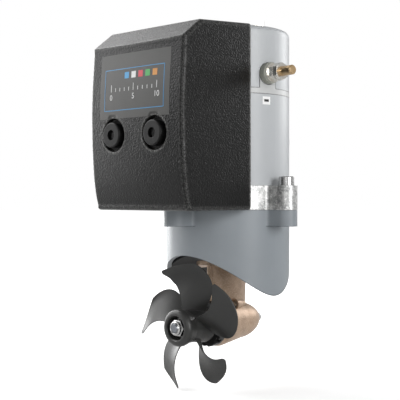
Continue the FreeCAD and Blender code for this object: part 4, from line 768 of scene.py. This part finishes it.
@dataclass
class MotorSticker:
    """Small white sticker with a plain bar, below the battery terminal.

    The bar's width and height are given as shares of the sticker's.
    """

    angle: float = 79.0
    height: float = 0.1908
    width: float = 0.0082
    tall: float = 0.0067
    bar_width: float = 0.6
    bar_tall: float = 0.3
    bar_lift: float = 0.00008
    step: float = 0.001

    def build(self) -> None:
        """Lay the sticker and its bar on the motor's wall."""
        art = Artwork("motor_housing", Axis.ROUND, math.radians(self.angle))
        half, rise = self.width / 2, self.tall / 2
        art.bar("motor_sticker", (-half, self.height - rise), (half, self.height + rise), STICKER,
                0.0, self.step)
        half, rise = half * self.bar_width, rise * self.bar_tall
        art.bar("motor_sticker_bar", (-half, self.height - rise), (half, self.height + rise), INK_BLACK,
                self.bar_lift, self.step)


# ---------------------------------------------------------------- sub-assemblies

Dressing = dict[Finish, tuple[str, ...]]


@dataclass
class SubAssembly:
    """Pieces that come apart together, each with its finish.

    Faces that meet at more than sharp_angle degrees keep a sharp edge.
    """

    finishes: Dressing = field(default_factory=dict)
    sharp_angle: float = 32.0

    def build(self) -> None:
        """Give every piece its finish and smooth its round faces."""
        for finish, names in self.finishes.items():
            for name in names:
                self.dress(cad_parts[name], finish)
                LOG.info("dressed %s as %s", name, finish.name)

    def dress(self, piece: bpy.types.Object, finish: Finish) -> None:
        """Give all faces of a piece one finish, and smooth it except across sharp edges.

        Args:
            piece: The piece.
            finish: Its finish.
        """
        slots = piece.data.materials
        if not len(slots):
            slots.append(finish.material())
        for index in range(len(slots)):
            slots[index] = finish.material()
        piece.data.shade_smooth()
        piece.data.set_sharp_from_angle(angle=math.radians(self.sharp_angle))


@dataclass
class Cover(SubAssembly):
    """Moulded cover over the controls, with its label, studs and thumb nuts."""

    finishes: Dressing = field(default_factory=lambda: {
        COVER_PLASTIC: ("control_cover",),
        KNOB_PLASTIC: ("left_cover_knob", "right_cover_knob"),
        RUBBER: ("left_knob_washer", "right_knob_washer"),
        BLACK_STEEL_AND_SHADE: ("cover_studs",),
    })
    label: CoverLabel = field(default_factory=CoverLabel)

    def build(self) -> None:
        """Dress the cover's pieces and lay its label."""
        super().build()
        self.label.build()


@dataclass
class Motor(SubAssembly):
    """Upright motor with its windings, brushes and battery terminal, and a small sticker."""

    finishes: Dressing = field(default_factory=lambda: {
        MOTOR_PAINT: ("motor_housing", "motor_end_cap"),
        BAND_PAINT: ("brush_band",),
        CAST_BRACKET: ("drive_end_shield",),
        NICKEL: ("through_bolts", "terminal_nuts"),
        BRASS: ("terminal_studs",),
        INSULATOR: ("terminal_insulators",),
        STEEL: ("pole_screws", "motor_bearings", "motor_shaft"),
        COPPER: ("field_coils", "armature_winding", "commutator"),
        LAMINATION: ("pole_shoes", "armature_core"),
        SHEET_STEEL: ("brush_plate",),
        CARBON: ("brushes",),
        STAINLESS: ("brush_springs",),
    })
    sticker: MotorSticker = field(default_factory=MotorSticker)

    def build(self) -> None:
        """Dress the motor's pieces and lay its sticker."""
        super().build()
        self.sticker.build()


@dataclass
class Brackets(SubAssembly):
    """Cast ring under the motor and painted saddle on the tunnel, with their screws and gasket."""

    finishes: Dressing = field(default_factory=lambda: {
        CAST_BRACKET: ("motor_bracket",),
        SKIRT_PAINT: ("saddle_bracket",),
        RUBBER: ("tunnel_gasket",),
        STAINLESS: ("bracket_bolts", "leg_screws"),
    })


@dataclass
class DriveLeg(SubAssembly):
    """Bronze leg with the coupling, the shafts, the bevel gears, their bearings and seals."""

    finishes: Dressing = field(default_factory=lambda: {
        CAST_BRACKET: ("shaft_coupling_half", "motor_coupling_half"),
        CAST_BRONZE: ("gear_leg",),
        BLACK_PLASTIC: ("seal_cap",),
        RUBBER: ("coupling_spider", "drive_shaft_seal", "propeller_shaft_seal"),
        STAINLESS: ("oil_plug",),
        SHAFT_STEEL: ("drive_shaft", "propeller_shaft"),
        STEEL: ("upper_shaft_bearing", "front_propeller_bearing", "rear_propeller_bearing",
                "drive_pinion", "crown_gear"),
        BRASS: ("lower_shaft_bush",),
        ZINC: ("zinc_anode",),
    })


@dataclass
class Propeller(SubAssembly):
    """Five-bladed propeller with the pin, washer and nut that hold it."""

    finishes: Dressing = field(default_factory=lambda: {
        PROPELLER_PLASTIC: ("propeller",),
        STAINLESS: ("drive_pin", "propeller_washer", "propeller_nut"),
    })


@dataclass
class Controls(SubAssembly):
    """Two contactors on their bracket, the copper strips and the control box."""

    finishes: Dressing = field(default_factory=lambda: {
        SHEET_STEEL: ("contactor_bracket", "contactor_cans"),
        COPPER: ("contactor_coils", "contactor_studs", "busbars"),
        BLACK_PLASTIC: ("contactor_caps", "control_box"),
        STEEL: ("left_contactor_plunger", "right_contactor_plunger"),
    })


# ---------------------------------------------------------------- studio

@dataclass
class Lamp:
    """Soft square lamp that faces the object's middle."""

    name: str
    spot: tuple[float, float, float]
    size: float
    power: float
    middle: tuple[float, float, float] = (0.0, 0.0, 0.1)

    def hang(self) -> None:
        """Hang the lamp in the scene."""
        data = bpy.data.lights.new(self.name, "AREA")
        data.size = self.size
        data.energy = self.power
        made = bpy.data.objects.new(self.name, data)
        made.location = self.spot
        aim = Vector(self.middle) - Vector(self.spot)
        made.rotation_euler = aim.to_track_quat("-Z", "Y").to_euler()
        bpy.context.scene.collection.objects.link(made)


@dataclass
class Studio:
    """Plain white room with soft lamps and the camera.

    The floor glows to the camera from floor_glow[0] near the object to floor_glow[1] far from it,
    between the two distances of floor_reach.
    """

    eye: tuple[float, float, float] = (0.5547, -0.6106, 0.1110)
    gaze: tuple[float, float, float] = (-0.6944, 0.7196, 0.0)
    lens: float = 83.7
    sensor: float = 36.0
    rise: float = -0.011
    nearest: float = 0.01
    floor_half: float = 8.0
    floor_level: float = -0.0545
    floor_tone: float = 0.8
    floor_roughness: float = 0.9
    floor_glow: tuple[float, float] = (0.55, 1.0)
    floor_reach: tuple[float, float] = (0.25, 0.9)
    room_light: float = 0.1
    room_shine: float = 0.5
    lamps: tuple[Lamp, ...] = (
        Lamp("left_high_lamp", (-1.15, -0.15, 1.25), 0.9, 17.0),
        Lamp("front_left_lamp", (-1.1, -1.05, 0.8), 0.7, 5.8),
        Lamp("left_lamp", (-1.35, -0.65, 0.3), 0.6, 5.0),
        Lamp("left_back_lamp", (-1.5, 0.3, 0.25), 0.7, 9.5),
        Lamp("right_lamp", (1.5, -0.1, 0.45), 0.7, 12.5),
        Lamp("back_lamp", (0.35, 1.6, 0.6), 0.7, 8.0),
        Lamp("near_lamp", (0.95, -1.25, 0.5), 0.35, 3.5),
    )

    def build(self) -> None:
        """Make the camera, the floor, the room's light and the lamps."""
        self.add_camera()
        self.add_floor()
        self.light_world()
        for lamp in self.lamps:
            lamp.hang()
        bpy.context.scene.view_settings.view_transform = "Standard"

    def add_camera(self) -> None:
        """Place the camera in front and to the right, looking level."""
        data = bpy.data.cameras.new("camera")
        data.lens = self.lens
        data.sensor_width = self.sensor
        data.shift_y = self.rise
        data.clip_start = self.nearest
        made = bpy.data.objects.new("camera", data)
        made.location = self.eye
        made.rotation_euler = Vector(self.gaze).to_track_quat("-Z", "Y").to_euler()
        bpy.context.scene.collection.objects.link(made)
        bpy.context.scene.camera = made

    def add_floor(self) -> None:
        """Lay a wide pale floor below the propeller."""
        half = self.floor_half
        mesh = bpy.data.meshes.new("floor")
        corners = [(-half, -half, 0), (half, -half, 0), (half, half, 0), (-half, half, 0)]
        mesh.from_pydata(corners, [], [(0, 1, 2, 3)])
        floor = bpy.data.objects.new("floor", mesh)
        floor.location.z = self.floor_level
        bpy.context.scene.collection.objects.link(floor)
        mesh.materials.append(self.floor_material())

    def floor_material(self) -> bpy.types.Material:
        """Make the floor's pale surface, which shines a little of its own light to the camera.

        Returns:
            The floor's material.
        """
        sheet = ShaderSheet("floor_finish")
        path = sheet.add("ShaderNodeLightPath")
        away = sheet.feed(sheet.add("ShaderNodeVectorMath", operation="LENGTH"), Vector=sheet.place)
        near_to_far = sheet.span(away.outputs["Value"], *self.floor_glow, *self.floor_reach)
        tone = self.floor_tone
        return sheet.finish(Base_Color=(tone, tone, tone, 1), Roughness=self.floor_roughness,
                            Specular_IOR_Level=0.0, Emission_Color=WHITE,
                            Emission_Strength=sheet.times(path.outputs["Is Camera Ray"], near_to_far))

    def light_world(self) -> None:
        """Light the room evenly, and show it as white behind the object and in its shine."""
        world = bpy.data.worlds.new("room")
        bpy.context.scene.world = world
        world.use_nodes = True
        tree = world.node_tree
        light = tree.nodes["Background"]
        light.inputs["Color"].default_value = WHITE
        light.inputs["Strength"].default_value = self.room_light
        path = tree.nodes.new("ShaderNodeLightPath")
        seen = light.outputs["Background"]
        rays = {
            "Is Glossy Ray": self.room_shine,
            "Is Transmission Ray": FULLY_LIT,
            "Is Camera Ray": FULLY_LIT,
        }
        for ray, strength in rays.items():
            white = tree.nodes.new("ShaderNodeBackground")
            white.inputs["Color"].default_value = WHITE
            white.inputs["Strength"].default_value = strength
            mix = tree.nodes.new("ShaderNodeMixShader")
            tree.links.new(path.outputs[ray], mix.inputs["Fac"])
            tree.links.new(seen, mix.inputs[SHADER_UNDER])
            tree.links.new(white.outputs["Background"], mix.inputs[SHADER_OVER])
            seen = mix.outputs["Shader"]
        tree.links.new(seen, tree.nodes["World Output"].inputs["Surface"])


# ---------------------------------------------------------------- build


def main() -> None:
    """Build the studio and every piece in order."""
    logging.basicConfig(level=logging.INFO, format="%(name)s: %(message)s")
    Studio().build()
    for assembly in (Cover(), Controls(), Motor(), Brackets(), DriveLeg(), Propeller()):
        assembly.build()


if __name__ == "__main__":
    main()
